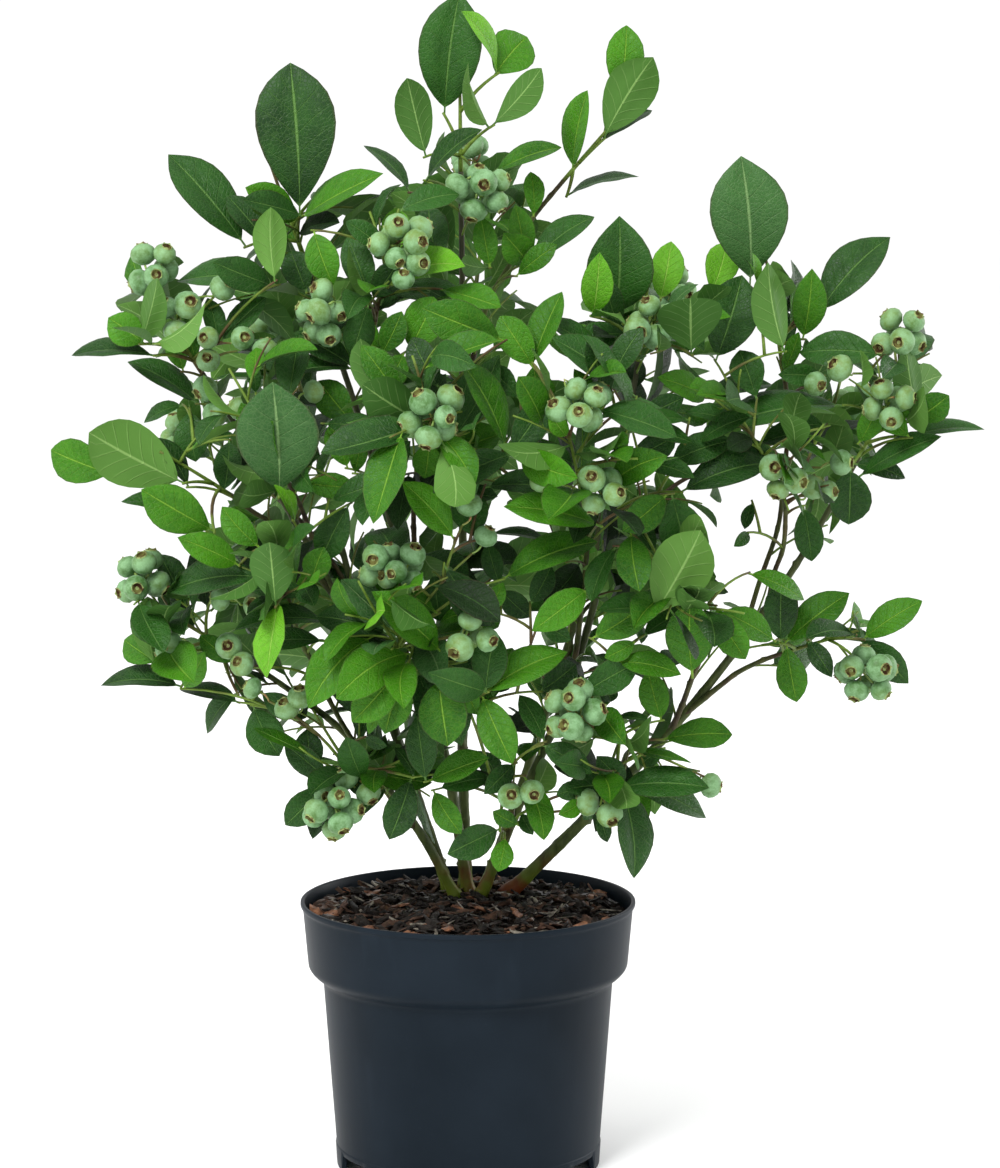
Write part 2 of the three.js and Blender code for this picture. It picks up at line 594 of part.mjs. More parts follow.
// All that grows in a spray: its stem, twigs, leaves and clusters of fruit.
function grow(name) {
  const own = spaceOf(name);
  const next = series(100 + names.indexOf(name));
  const limb = limbs[name];
  const heading = along(limb.points, 1).direction;
  const foot = limb.points.at(-1).clone().addScaledVector(heading, CLEARANCE);
  const crest = own.centre.clone().addScaledVector(heading, CREST_SHARE * own.reach);
  while (!inSpace(own, crest, TWIG_MARGIN)) crest.lerp(foot, 0.1);
  const stem = [foot, crest];
  const aside = new THREE.Vector3(1, 0.2, 0.1).cross(heading).normalize();
  const twigs = [];
  const leaves = [];
  const clusters = [];
  const taken = [];

  // Adds a twig where all of it is in the space and clear of limbs.
  function tryTwig(fork, end, ended) {
    const dots = dotted([fork, end]);
    if (!dots.every((p) => inSpace(own, p, TWIG_MARGIN)) || !clearOfLimbs(dots, TWIG_GAP)) return false;
    twigs.push({ points: [fork, end], ended });
    taken.push(...dots);
    return true;
  }

  // Adds a leaf where its whole blade is in the space, clear of limbs and of all that grew before it.
  function tryLeaf(leaf, gap) {
    const points = blade(leaf);
    const outer = points.slice(OPEN_ROWS * BLADE_COLUMNS);
    if (!outer.every((p) => taken.every((q) => p.distanceToSquared(q) >= gap ** 2))) return false;
    if (!points.every((p) => inSpace(own, p)) || !clearOfLimbs(points, LIMB_GAP)) return false;
    leaves.push(leaf);
    taken.push(...outer);
    return true;
  }

  // The direction a leaf's blade faces: up, outwards from the plant's middle, and a little at random.
  function facing(at) {
    const outward = at.clone().setZ(0).normalize();
    const stray = new THREE.Vector3(next() - 0.5, next() - 0.5, next() - 0.5);
    outward.multiplyScalar(OUTWARD).addScaledVector(UP, UPWARD);
    return outward.addScaledVector(stray, ASTRAY).normalize();
  }

  // Leaves in a spiral along a twig, from its end back, the first at the very end unless that is taken.
  function leafy(points, ended) {
    const length = lengthOf(points);
    const count = Math.floor((length - BARE_LENGTH) / LEAF_SPACING);
    const turn = 2 * Math.PI * next();
    for (let i = 0; i <= count; i++) {
      const { point, direction } = along(points, 1 - (i * LEAF_SPACING + LEAF_SINK) / length);
      const size = LEAF_LENGTH * (SMALLEST_LEAF + LEAF_GROWTH * next());
      const face = facing(point);
      if (i === 0 && ended) continue;
      const side = aside.clone().cross(direction).normalize();
      side.applyAxisAngle(direction, turn + i * GOLDEN_ANGLE);
      for (const [swing, scale] of LEAF_TRIES) {
        const spread = side.clone().applyAxisAngle(direction, swing);
        spread.multiplyScalar(i === 0 ? END_LEAF_SPREAD : LEAF_SPREAD);
        const lead = direction.clone().add(spread).addScaledVector(UP, -LEAF_DROOP).normalize();
        const tip = point.clone().addScaledVector(lead, scale * size);
        const leaf = { base: point, tip, breadth: LEAF_BREADTH * scale * size, face };
        if (tip.distanceTo(own.centre) < LEAF_REACH * own.reach && tryLeaf(leaf, LEAF_GAP)) break;
      }
    }
  }

  // The point of the stem that a twig to a named place forks off at, some way below that place.
  function forkFor(end) {
    const height = end.clone().sub(foot).dot(heading) / foot.distanceTo(crest);
    return along(stem, THREE.MathUtils.clamp(height - FORK_DROP, 0.15, 0.95)).point;
  }

  taken.push(...dotted(stem));
  for (const [x, y, z, berries] of CLUSTERS[name] ?? []) {
    const middle = new THREE.Vector3(x, y, z);
    const fork = forkFor(middle);
    const room = CLUSTER_SPREAD + BERRY_RADIUS;
    if (!inSpace(own, middle, room) || !clearOfLimbs([middle], room + 1)) continue;
    if (!tryTwig(fork, middle, true)) continue;
    clusters.push({ middle, outward: middle.clone().sub(fork).normalize(), berries });
    taken.push(...ballPoints(middle, room));
  }
  const leaders = [];
  for (const [end, ...ends] of SHOOTS[name] ?? []) {
    const base = new THREE.Vector3(...end);
    if (tryTwig(forkFor(base), base, true)) leaders.push({ points: twigs.at(-1).points, ends });
  }
  const count = Math.round(own.reach / TWIG_SPACING);
  for (let k = 0; k < count; k++) {
    const share = 0.1 + (0.85 * (k + 0.5)) / count;
    const fork = along(stem, share).point;
    const tilt = THREE.MathUtils.degToRad(TWIG_TILT - TWIG_LIFT * share);
    const side = aside.clone().applyAxisAngle(heading, k * GOLDEN_ANGLE + 1);
    const lead = heading.clone().multiplyScalar(Math.cos(tilt)).addScaledVector(side, Math.sin(tilt));
    lead.multiplyScalar(own.reach * (TWIG_LENGTH + TWIG_GROWTH * next()));
    TWIG_TRIES.some((scale) => tryTwig(fork, fork.clone().addScaledVector(lead, scale), false));
  }

  for (const { points, ends } of leaders) {
    ends.forEach(([x, y, z, seen], i) => {
      const base = along(points, 1 - (LEAF_SINK + LEADING_SPACING * i) / lengthOf(points)).point;
      const tip = new THREE.Vector3(x, y, z);
      const axis = tip.clone().sub(base);
      const breadth = Math.max(seen, LEAF_BREADTH * axis.length());
      const turned = Math.acos(Math.min(1, seen / breadth)) * (next() < 0.5 ? -1 : 1);
      const face = FRONT.clone().applyAxisAngle(axis.normalize(), turned);
      tryLeaf({ base, tip, breadth, face, corners: 6 }, 0);
    });
  }
  for (const { points, ended } of twigs) leafy(points, ended);
  leafy(stem, false);
  return { stem, twigs, leaves, clusters };
}

// The berries of a cluster sit all round the end of its twig, but for the side that the twig comes from.
function berryPlaces({ middle, outward, berries }) {
  const turn = new THREE.Quaternion().setFromUnitVectors(UP, outward);
  const count = Math.ceil(berries / BERRIES_EACH);
  return Array.from({ length: count }, (_, i) => {
    const place = onBall(i, 1 - (1.5 * (i + 0.5)) / count);
    return place.applyQuaternion(turn).multiplyScalar(CLUSTER_SPREAD).add(middle);
  });
}

function sprayGeometry(name) {
  const { stem, twigs, leaves, clusters } = grow(name);
  const thick = limbs[name].radii.at(-1);
  const pieces = [solid(tube(stem, [thick, 0.8 * thick], STEM_SIDES))];
  for (const { points } of twigs) pieces.push(solid(tube(points, [TWIG_RADIUS, TWIG_TIP_RADIUS], 3)));
  for (const leaf of leaves) pieces.push(solid(leafGeometry(leaf)));
  for (const p of clusters.flatMap(berryPlaces)) {
    pieces.push(solid(new THREE.IcosahedronGeometry(BERRY_RADIUS, 0).translate(p.x, p.y, p.z)));
  }
  return geometryOf(wasm.Manifold.union(pieces));
}

// ---- Assembly -------------------------------------------------------------------------------------

const plant = new THREE.Group();

function add(parent, name, geometry, colour, roughness) {
  const material = new THREE.MeshStandardMaterial({ color: colour, roughness, metalness: 0 });
  const mesh = new THREE.Mesh(geometry, material);
  mesh.name = name;
  parent.add(mesh);
}

add(plant, "pot", potGeometry(), 0x2e343a, 0.55);
add(plant, "substrate", substrateGeometry(), 0x2a1c14, 0.95);
growLimbs();
const wood = new THREE.Group();
const foliage = new THREE.Group();
plant.add(wood, foliage);
for (const name of Object.keys(CANES)) add(wood, "cane_" + name, limbGeometry(name), 0x6a7340, 0.7);
for (const name of Object.keys(BOUGHS)) add(wood, "bough_" + name, limbGeometry(name), 0x5c4a35, 0.75);
for (const name of names) add(foliage, "spray_" + name, sprayGeometry(name), 0x2f6b2c, 0.5);

export default plant;
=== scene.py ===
# A highbush blueberry in green fruit, growing in its round nursery pot. It faces -Y, with +Z up.
# First the pot and its bark fill, then the canes and boughs, then the twigs, leaves and fruit that grow
# on from them, and last the floor, the lights and the camera. Lengths are in millimetres: piece() makes
# them metres.
import bpy
import json
import numpy as np
from math import acos, ceil, cos, exp, floor, pi, radians, sin, sqrt
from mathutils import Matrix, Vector

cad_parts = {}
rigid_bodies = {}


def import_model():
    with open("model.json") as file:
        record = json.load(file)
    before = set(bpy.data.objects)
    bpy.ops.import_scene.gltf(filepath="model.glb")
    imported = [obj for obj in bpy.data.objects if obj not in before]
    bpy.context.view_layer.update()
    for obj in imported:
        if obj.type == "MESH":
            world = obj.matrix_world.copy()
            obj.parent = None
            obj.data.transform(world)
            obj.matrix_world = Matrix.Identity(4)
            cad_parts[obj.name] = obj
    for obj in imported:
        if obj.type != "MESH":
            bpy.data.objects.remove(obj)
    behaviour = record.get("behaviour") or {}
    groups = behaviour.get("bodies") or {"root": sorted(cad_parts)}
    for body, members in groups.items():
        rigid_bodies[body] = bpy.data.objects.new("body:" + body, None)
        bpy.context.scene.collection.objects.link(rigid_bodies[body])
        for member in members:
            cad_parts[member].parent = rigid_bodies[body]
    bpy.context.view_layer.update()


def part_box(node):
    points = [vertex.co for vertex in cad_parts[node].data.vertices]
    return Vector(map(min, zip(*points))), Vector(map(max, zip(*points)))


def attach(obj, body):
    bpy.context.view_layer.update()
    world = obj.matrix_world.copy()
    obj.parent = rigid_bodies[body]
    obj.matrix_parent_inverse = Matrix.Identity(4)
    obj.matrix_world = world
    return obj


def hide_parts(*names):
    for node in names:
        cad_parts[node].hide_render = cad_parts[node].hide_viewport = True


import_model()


# ---- Pot ------------------------------------------------------------------------------------------
# A nursery pot, moulded in one from dark blue-grey polypropylene: a deep collar over a tapering wall,
# and a skirt cut into three feet round a raised floor. Its skin is one profile turned round the axis,
# with the notches between the feet lifted into its lowest rows.
MM = 0.001
RIM_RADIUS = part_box("pot")[1].x / MM
POT_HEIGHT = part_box("pot")[1].z / MM
COLLAR_DEPTH = 41
COLLAR_RADIUS = 95.3
WAIST_RADIUS = 86.6
FOOT_RADIUS = 78.4
WALL = 2
FLOOR_HEIGHT = 13
FLOOR_THICKNESS = 2.5
MIDDLE_FOOT_RADIUS = 14
SKIRT_STEP = 0.5
WALL_STEP = 0.8
NOTCHES = (60, 180, 300)
NOTCH_HALF = 10.8
NOTCH_SLOPE = 0.9
NOTCH_HEIGHT = 10
CORNER_POINTS = 5
POT_TURN = 2.5
POT_CREASE = 50
collar_edge = POT_HEIGHT - COLLAR_DEPTH
floor_top = FLOOR_HEIGHT + FLOOR_THICKNESS


def piece(name, points, faces, materials, smooth=True, crease=None):
    """An object that rides on the plant's one body, from points in millimetres and arrays of faces."""
    mesh = bpy.data.meshes.new(name)
    mesh.vertices.add(len(points))
    mesh.vertices.foreach_set("co", (np.asarray(points) * MM).astype(np.float32).ravel())
    corners = np.concatenate([kind.ravel() for kind in faces])
    sizes = np.concatenate([np.full(len(kind), kind.shape[1]) for kind in faces])
    mesh.loops.add(len(corners))
    mesh.loops.foreach_set("vertex_index", corners.astype(np.int32))
    mesh.polygons.add(len(sizes))
    mesh.polygons.foreach_set("loop_start", (np.cumsum(sizes) - sizes).astype(np.int32))
    mesh.update(calc_edges=True)
    mesh.polygons.foreach_set("use_smooth", np.full(len(sizes), smooth))
    if crease is not None:
        mesh.set_sharp_from_angle(angle=radians(crease))
    for material in materials:
        mesh.materials.append(material)
    made = bpy.data.objects.new(name, mesh)
    bpy.context.scene.collection.objects.link(made)
    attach(made, "root")
    return made


def cells(rows, columns, wrap=False):
    """The four corners of each cell of a grid of points, row by row; wrap joins the last column on."""
    row = np.arange(rows - 1)[:, None] * columns
    column = np.arange(columns if wrap else columns - 1)
    onward = (column + 1) % columns
    corners = [row + column, row + onward, row + columns + onward, row + columns + column]
    return np.stack(corners, axis=-1).reshape(-1, 4)


def capped(rings, first, last):
    """Closed skins, one or many: each a run of rings, with a fan of triangles to a point at either end."""
    rings = rings.reshape(-1, *rings.shape[-3:])
    many, count, sides = rings.shape[:3]
    ends = np.stack([np.reshape(first, (-1, 3)), np.reshape(last, (-1, 3))], axis=1)
    points = np.concatenate([rings.reshape(many, -1, 3), ends], axis=1)
    here = np.arange(sides)
    onward = (here + 1) % sides
    final = (count - 1) * sides
    first_fan = np.stack([np.full(sides, count * sides), onward, here], axis=-1)
    last_fan = np.stack([np.full(sides, count * sides + 1), final + here, final + onward], axis=-1)
    shift = (np.arange(many) * points.shape[1])[:, None, None]
    kinds = [cells(count, sides, wrap=True), np.concatenate([first_fan, last_fan])]
    return points.reshape(-1, 3), [(kind + shift).reshape(-1, kind.shape[1]) for kind in kinds]


def parabola(start, guide, end, count):
    """Points on the parabola from start to end whose tangents there meet at the guide."""
    t = np.linspace(0, 1, count)[:, None]
    return (1 - t) ** 2 * start + 2 * t * (1 - t) * guide + t ** 2 * end


def eased(corners):
    """A profile of [x, y, ease] corners, where each corner becomes a parabola that begins and ends the
    length of its ease away from it."""
    places = np.array([corner[:2] for corner in corners], float)
    profile = [places[:1]]
    for before, here, after, ease in zip(places, places[1:], places[2:], [c[2] for c in corners[1:-1]]):
        start = here + (before - here) * ease / np.linalg.norm(before - here)
        end = here + (after - here) * ease / np.linalg.norm(after - here)
        profile.append(parabola(start, here, end, CORNER_POINTS))
    profile.append(places[-1:])
    return np.concatenate(profile)


def turned(profile, angles):
    """Rings round the axis: each point of the profile at each angle, from the front anticlockwise."""
    radius, height = profile[:, 0, None], profile[:, 1, None]
    rings = [radius * np.sin(angles), -radius * np.cos(angles), height + 0 * angles]
    return np.stack(rings, axis=-1)


class Wire:
    """One socket of a material's nodes, or the start of them. + - * on wires and numbers add Math nodes."""

    def __init__(self, tree, socket=None):
        self.tree = tree
        self.socket = socket

    def node(self, kind, settings=None, sockets=None, out=0):
        """Adds a node: first its settings, then the value or the wire of each socket."""
        made = self.tree.nodes.new(kind)
        for name, value in (settings or {}).items():
            setattr(made, name, value)
        for name, value in (sockets or {}).items():
            if isinstance(value, Wire):
                self.tree.links.new(value.socket, made.inputs[name])
            else:
                made.inputs[name].default_value = value
        return Wire(self.tree, made.outputs[out])

    def maths(self, operation, first, second=0.0):
        """A Math node on two values."""
        return self.node("ShaderNodeMath", {"operation": operation}, {0: first, 1: second})

    def place(self):
        """The surface's own place, in metres."""
        return self.node("ShaderNodeTexCoord", out="Object")

    def __add__(self, other):
        return self.maths("ADD", self, other)

    def __radd__(self, other):
        return self.maths("ADD", other, self)

    def __sub__(self, other):
        return self.maths("SUBTRACT", self, other)

    def __rsub__(self, other):
        return self.maths("SUBTRACT", other, self)

    def __mul__(self, other):
        return self.maths("MULTIPLY", self, other)

    def __rmul__(self, other):
        return self.maths("MULTIPLY", other, self)

    def __abs__(self):
        return self.maths("ABSOLUTE", self)

    def span(self, low, high):
        """0 below low and 1 above high, or the other way round where low is the higher."""
        sockets = {"Value": self, "From Min": low, "From Max": high}
        return self.node("ShaderNodeMapRange", {"clamp": True}, sockets)

    def blend(self, first, second):
        """The first colour where this is 0 and the second where it is 1."""
        return self.node("ShaderNodeMix", {"data_type": "RGBA"}, {0: self, 6: first, 7: second}, out=2)

    def noise(self, scale, detail, stretch=(1, 1, 1)):
        """Noise on this place, per metre, stretched along each axis."""
        place = self.node("ShaderNodeMapping", {}, {"Vector": self, "Scale": stretch})
        return self.node("ShaderNodeTexNoise", {}, {"Vector": place, "Scale": scale, "Detail": detail})

    def bump(self, height, distance, strength):
        """A normal for a relief of this height."""
        sockets = {"Height": height, "Distance": distance, "Strength": strength}
        return self.node("ShaderNodeBump", {}, sockets)


def rgb(red, green, blue):
    """A colour as the screen shows it, from 0 to 255, as the light it stands for."""
    screen = np.array([red, green, blue]) / 255
    return (*np.where(screen > 0.04, ((screen + 0.055) / 1.055) ** 2.4, screen / 12.92), 1.0)


def finish(name, look):
    """A material whose shader takes what look() returns for each of its sockets."""
    material = bpy.data.materials.new(name)
    material.use_nodes = True
    shader = material.node_tree.nodes["Principled BSDF"]
    for socket, value in look(Wire(material.node_tree)).items():
        if isinstance(value, Wire):
            material.node_tree.links.new(value.socket, shader.inputs[socket])
        else:
            shader.inputs[socket].default_value = value
    return material


def moulded_plastic(start):
    """Dark plastic with a fine moulded grain, paler in soft clouds and where it is scuffed and dusty."""
    place = start.place()
    cloud = place.noise(14, 4)
    scuff = place.noise(60, 5, stretch=(1, 1, 0.25)).span(0.60, 0.78)
    spots = place.noise(330, 2).span(0.70, 0.78)
    worn = cloud.span(0.35, 0.75) * 0.45 + scuff * 0.25 + spots * 0.3
    colour = worn.blend(rgb(16, 24, 31), rgb(31, 40, 49))
    return {
        "Base Color": colour,
        "Roughness": 0.36 + cloud * 0.14 + spots * 0.1,
        "Specular IOR Level": 0.06,
        "Normal": start.bump(place.noise(1600, 2) * 0.5 + scuff * 0.4, 0.0002, 0.35),
    }


profile = eased([
    (0, 0, 0),
    (MIDDLE_FOOT_RADIUS, 0, 1.2),
    (MIDDLE_FOOT_RADIUS + 2, FLOOR_HEIGHT, 1.2),
    (FOOT_RADIUS - WALL, FLOOR_HEIGHT, 1.5),
    (FOOT_RADIUS - WALL, 0, 0.7),
    (FOOT_RADIUS + SKIRT_STEP, 0, 0.7),
    (FOOT_RADIUS + WALL_STEP + SKIRT_STEP, FLOOR_HEIGHT, 0.4),
    (FOOT_RADIUS + WALL_STEP, FLOOR_HEIGHT + 0.8, 0.3),
    (WAIST_RADIUS, collar_edge - 6, 2.5),
    (COLLAR_RADIUS - 3, collar_edge - 2, 2.0),
    (COLLAR_RADIUS, collar_edge + 1.5, 2.2),
    (RIM_RADIUS - 1.5, POT_HEIGHT - 4, 1.4),
    (RIM_RADIUS, POT_HEIGHT - 2.6, 1.0),
    (RIM_RADIUS - 0.1, POT_HEIGHT, 0.9),
    (RIM_RADIUS - 2.4, POT_HEIGHT, 0.9),
    (RIM_RADIUS - 3.4, POT_HEIGHT - 4, 1.5),
    (COLLAR_RADIUS - WALL, collar_edge + 3, 3),
    (WAIST_RADIUS - WALL, collar_edge - 7, 3),
    (FOOT_RADIUS + WALL_STEP - WALL, floor_top, 3),
    (0, floor_top, 0),
])
notch_edges = [notch + side * NOTCH_HALF for notch in NOTCHES for side in (-1, 1)]
close_steps = (-NOTCH_SLOPE, -NOTCH_SLOPE / 3, NOTCH_SLOPE / 3, NOTCH_SLOPE)
close_angles = [edge + step for edge in notch_edges for step in close_steps]
pot_angles = np.radians(np.unique(np.concatenate([np.arange(0, 360, POT_TURN), close_angles])))
rings = turned(profile[1:-1], pot_angles)
off_notch = np.min([np.abs(np.degrees(pot_angles) - notch) for notch in NOTCHES], axis=0)
lifted = NOTCH_HEIGHT * np.clip((NOTCH_HALF + NOTCH_SLOPE - off_notch) / (2 * NOTCH_SLOPE), 0, 1)
in_skirt = np.hypot(rings[..., 0], rings[..., 1]) > FOOT_RADIUS - WALL - 2
rings[..., 2] = np.where(in_skirt, np.maximum(rings[..., 2], lifted), rings[..., 2])
plastic = finish("moulded_plastic", moulded_plastic)
pot = piece("pot_shell", *capped(rings, (0, 0, 0), (0, 0, floor_top)), [plastic], crease=POT_CREASE)
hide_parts("pot")


# ---- Bark fill ------------------------------------------------------------------------------------
# Composted bark: a dark, moist crumb that fills the pot to just under its rim, strewn with chips of
# bark. The crumb is a turned body with an uneven top, and the chips are small ragged slabs that lie on it.
SOIL_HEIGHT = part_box("substrate")[1].z / MM + 3
SOIL_EDGE_HEIGHT = SOIL_HEIGHT - 5
SOIL_LEVEL_RADIUS = 62
SOIL_EDGE_RADIUS = 95
CLEARANCE = 0.3
CRUMB_RINGS = 48
CRUMB_SIDES = 180
CRUMB_HEIGHTS = (-1.6, 0.6)
CHIP_SIDES = 7
CHIP_ROWS = 5


def soil_level(radius):
    """The height of the fill at a distance from the middle: level, then down to the wall."""
    share = np.clip((radius - SOIL_LEVEL_RADIUS) / (SOIL_EDGE_RADIUS - SOIL_LEVEL_RADIUS), 0, 1)
    return SOIL_HEIGHT - (SOIL_HEIGHT - SOIL_EDGE_HEIGHT) * share


def crumb_look(start):
    """Near-black compost with browner grains."""
    place = start.place()
    grain = place.noise(420, 5)
    return {
        "Base Color": grain.span(0.42, 0.70).blend(rgb(8, 6, 5), rgb(46, 34, 26)),
        "Roughness": 0.9,
        "Specular IOR Level": 0.1,
        "Normal": start.bump(grain, 0.002, 0.9),
    }


def chip_look(dark, light):
    """A finish for chips: two shades of bark in long streaks, some of them wet and shining."""

    def look(start):
        place = start.place()
        streak = place.noise(260, 4, stretch=(1, 0.35, 1.6))
        wet = place.noise(90, 2).span(0.50, 0.62)
        return {
            "Base Color": streak.span(0.35, 0.68).blend(rgb(*dark), rgb(*light)),
            "Roughness": 0.85 - wet * 0.45,
            "Specular IOR Level": 0.2,
            "Normal": start.bump(streak, 0.0012, 0.8),
        }

    return look


def chips(count, size, slender, seed):
    """Ragged slabs: a few rings along each, every ring an oval whose breadth goes as 4 u (1 - u) to the
    power 0.3, shaken at random, then turned, tipped a little and laid on the fill."""
    rng = np.random.default_rng(seed)
    u = np.linspace(0.06, 0.94, CHIP_ROWS)
    v = np.arange(CHIP_SIDES) * 2 * pi / CHIP_SIDES
    oval = (4 * u * (1 - u)) ** 0.3
    length = rng.uniform(0.55, 1.25, (count, 1, 1)) * size
    width = length * slender * rng.uniform(0.6, 1.3, (count, 1, 1))
    thick = width * rng.uniform(0.22, 0.5, (count, 1, 1))
    skew = rng.uniform(-0.35, 0.35, (count, 1, 1))
    x = (u[None, :, None] - 0.5) * length + 0 * v
    y = 0.5 * width * oval[None, :, None] * np.cos(v) + skew * x
    z = 0.5 * thick * oval[None, :, None] * np.sin(v)
    rings = np.stack([x, y, z], axis=-1)
    rings += rng.normal(0, 0.09, rings.shape) * np.concatenate([width, width, thick], axis=2)[:, :, None, :]
    yaw = rng.uniform(0, 2 * pi, (count, 1, 1))
    tip = rng.normal(0, 0.32, (count, 1, 1))
    roll = rng.normal(0, 0.35, (count, 1, 1))
    distance = (SOIL_EDGE_RADIUS - 5) * np.sqrt(rng.uniform(0, 1, (count, 1, 1)))
    angle = rng.uniform(0, 2 * pi, (count, 1, 1))
    lift = rng.uniform(0, 2.2, (count, 1, 1))
    x, y, z = rings[..., 0], rings[..., 1], rings[..., 2]
    y, z = y * np.cos(roll) - z * np.sin(roll), y * np.sin(roll) + z * np.cos(roll)
    x, z = x * np.cos(tip) - z * np.sin(tip), x * np.sin(tip) + z * np.cos(tip)
    x, y = x * np.cos(yaw) - y * np.sin(yaw), x * np.sin(yaw) + y * np.cos(yaw)
    x = x + distance * np.cos(angle)
    y = y + distance * np.sin(angle)
    z = z + soil_level(distance) + lift
    inward = np.minimum(1, (SOIL_EDGE_RADIUS - 0.5) / np.hypot(x, y))
    rings = np.stack([x * inward, y * inward, z], axis=-1)
    return capped(rings, rings[:, 0].mean(axis=1), rings[:, -1].mean(axis=1))


inner = WALL + CLEARANCE
body = np.array([
    (FOOT_RADIUS + WALL_STEP - inner, floor_top + CLEARANCE),
    (WAIST_RADIUS - inner, collar_edge - 7),
    (COLLAR_RADIUS - inner, collar_edge + 3),
    (SOIL_EDGE_RADIUS, SOIL_EDGE_HEIGHT - 2),
])
top_radii = np.linspace(SOIL_EDGE_RADIUS - 1, 2, CRUMB_RINGS)
fill_profile = np.concatenate([body, np.stack([top_radii, soil_level(top_radii)], axis=-1)])
fill_angles = np.arange(CRUMB_SIDES) * 2 * pi / CRUMB_SIDES
rings = turned(fill_profile, fill_angles)
crumbs = np.random.default_rng(3).uniform(*CRUMB_HEIGHTS, rings[len(body):, :, 2].shape)
rings[len(body):, :, 2] += crumbs
crumb = finish("compost_crumb", crumb_look)
fill_ends = (0, 0, floor_top + CLEARANCE), (0, 0, SOIL_HEIGHT)
fill = piece("bark_fill", *capped(rings, *fill_ends), [crumb], smooth=False)
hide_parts("substrate")

# Chips and slivers: how many, length, breadth as a share of it, the dark and the light colour, and seed.
CHIPS = {
    "black_chips": (520, 11.0, 0.45, (9, 7, 6), (38, 31, 27), 11),
    "brown_chips": (230, 13.0, 0.42, (30, 20, 15), (82, 58, 45), 12),
    "russet_chips": (30, 16.0, 0.42, (70, 43, 30), (142, 98, 72), 13),
    "grey_slivers": (110, 14.0, 0.18, (60, 56, 50), (142, 134, 122), 14),
}
for name, (count, size, slender, dark, light, seed) in CHIPS.items():
    bark = finish(name, chip_look(dark, light))
    strewn = piece(name, *chips(count, size, slender, seed), [bark], smooth=False)


# ---- Canes and boughs -----------------------------------------------------------------------------
# Eight woody canes rise from one clump, and side boughs fork off them; each ends where its spray of
# foliage begins. Smooth young bark, olive and yellow-green at the foot and browner above, with raised
# lines along it and a scar at each old leaf. Each is a tube on a smooth curve through the limb's nodes.
STEM_SHARE = 0.55
LIMB_KINK = 1.6
LIMB_HANDLE = 0.36
OWN_WAY = 0.75
PARENT_WAY = 0.65
TAPER = 0.9
FLARE = 0.55
FLARE_HEIGHT = 0.02
CANE_SHARES = (0, 0.04, 0.2, 0.4, 0.6, 0.8, 1)
BOUGH_SHARES = (0, 0.2, 0.4, 0.6, 0.8, 1)
CANE_TIP_RADIUS = 1.5
BOUGH_TIP_RADIUS = 1.3
BOUGH_RADIUS = 2.4
LIMB_STEP = 1.6
LIMB_SIDES = {"cane": 16, "bough": 10}
FIRST_SCAR = (14, 24)
SCAR_SPACING = (17, 30)
LAST_SCAR = 6
SCAR_TURN = 2.4
SCAR_HEIGHT = 0.45
SWELLING_HEIGHT = 0.10
FORK_SWELL = 0.45
FORK_SWELL_LENGTH = 4
SUNK = 5
UP = np.array([0.0, 0.0, 1.0])
FRONT = np.array([0.0, -1.0, 0.0])

# Sprays of foliage: centre x, y, z and reach.
SPRAYS = {
    "top": (-4, -5, 628, 68),
    "top_right": (80, 15, 612, 64),
    "left_peak": (-108, -10, 578, 70),
    "centre_upper": (-46, -50, 532, 60),
    "left_upper": (-174, -30, 506, 70),
    "left_mid": (-162, -50, 421, 65),
    "left_front": (-108, -88, 438, 62),
    "left_arm": (-171, -20, 330, 75),
    "left_inner": (-102, -98, 362, 60),
    "low_left": (-68, -50, 247, 60),
    "centre_front": (-20, -110, 448, 70),
    "centre_low": (-37, -100, 324, 75),
    "right_front": (58, -120, 438, 70),
    "right_low_front": (82, -80, 268, 60),
    "low_centre": (18, -70, 244, 50),
    "right_inner": (118, -90, 350, 65),
    "right_upper": (102, -40, 518, 65),
    "right_peak": (177, 0, 522, 70),
    "right_arm": (247, -10, 459, 70),
    "right_mid": (162, -60, 439, 60),
    "right_low_arm": (215, -20, 319, 60),
    "back_left_high": (-110, 120, 480, 65),
    "back_right_high": (110, 130, 500, 65),
    "back_left_low": (-130, 120, 330, 65),
    "back_right_low": (95, 130, 340, 65),
    "back_centre": (5, 190, 410, 70),
    "back_top": (10, 95, 560, 70),
    "back_left_side": (-165, 80, 420, 60),
    "back_right_side": (210, 90, 430, 60),
}

# Canes, each named for its spray: foot x, y, radius, and the angle it leaves the soil at.
CANES = {
    "left_arm": (-8, 24, 3.0, 61),
    "left_upper": (-12, 37, 3.1, 72),
    "left_peak": (0, 31, 3.2, 80),
    "top": (-2, 43, 3.4, 88),
    "right_upper": (7, 21, 3.1, 62),
    "right_arm": (25, 32, 3.8, 44),
    "back_left_high": (-13, 51, 3.0, 66),
    "back_right_high": (10, 48, 3.0, 64),
}

# Boughs, likewise: the limb it forks from, and how far along that limb.
BOUGHS = {
    "low_left": ("left_arm", 0.25),
    "left_inner": ("left_arm", 0.45),
    "left_mid": ("left_upper", 0.55),
    "left_front": ("left_upper", 0.45),
    "centre_upper": ("left_peak", 0.65),
    "centre_front": ("left_peak", 0.35),
    "centre_low": ("top", 0.2),
    "low_centre": ("right_upper", 0.12),
    "right_front": ("right_upper", 0.4),
    "right_low_front": ("right_arm", 0.22),
    "right_inner": ("right_arm", 0.42),
    "right_low_arm": ("right_arm", 0.45),
    "right_mid": ("right_arm", 0.7),
    "right_peak": ("right_arm", 0.62),
    "top_right": ("top", 0.7),
    "back_top": ("top", 0.6),
    "back_left_low": ("back_left_high", 0.45),
    "back_left_side": ("back_left_high", 0.6),
    "back_right_low": ("back_right_high", 0.45),
    "back_centre": ("back_right_high", 0.5),
    "back_right_side": ("back_right_high", 0.6),
}
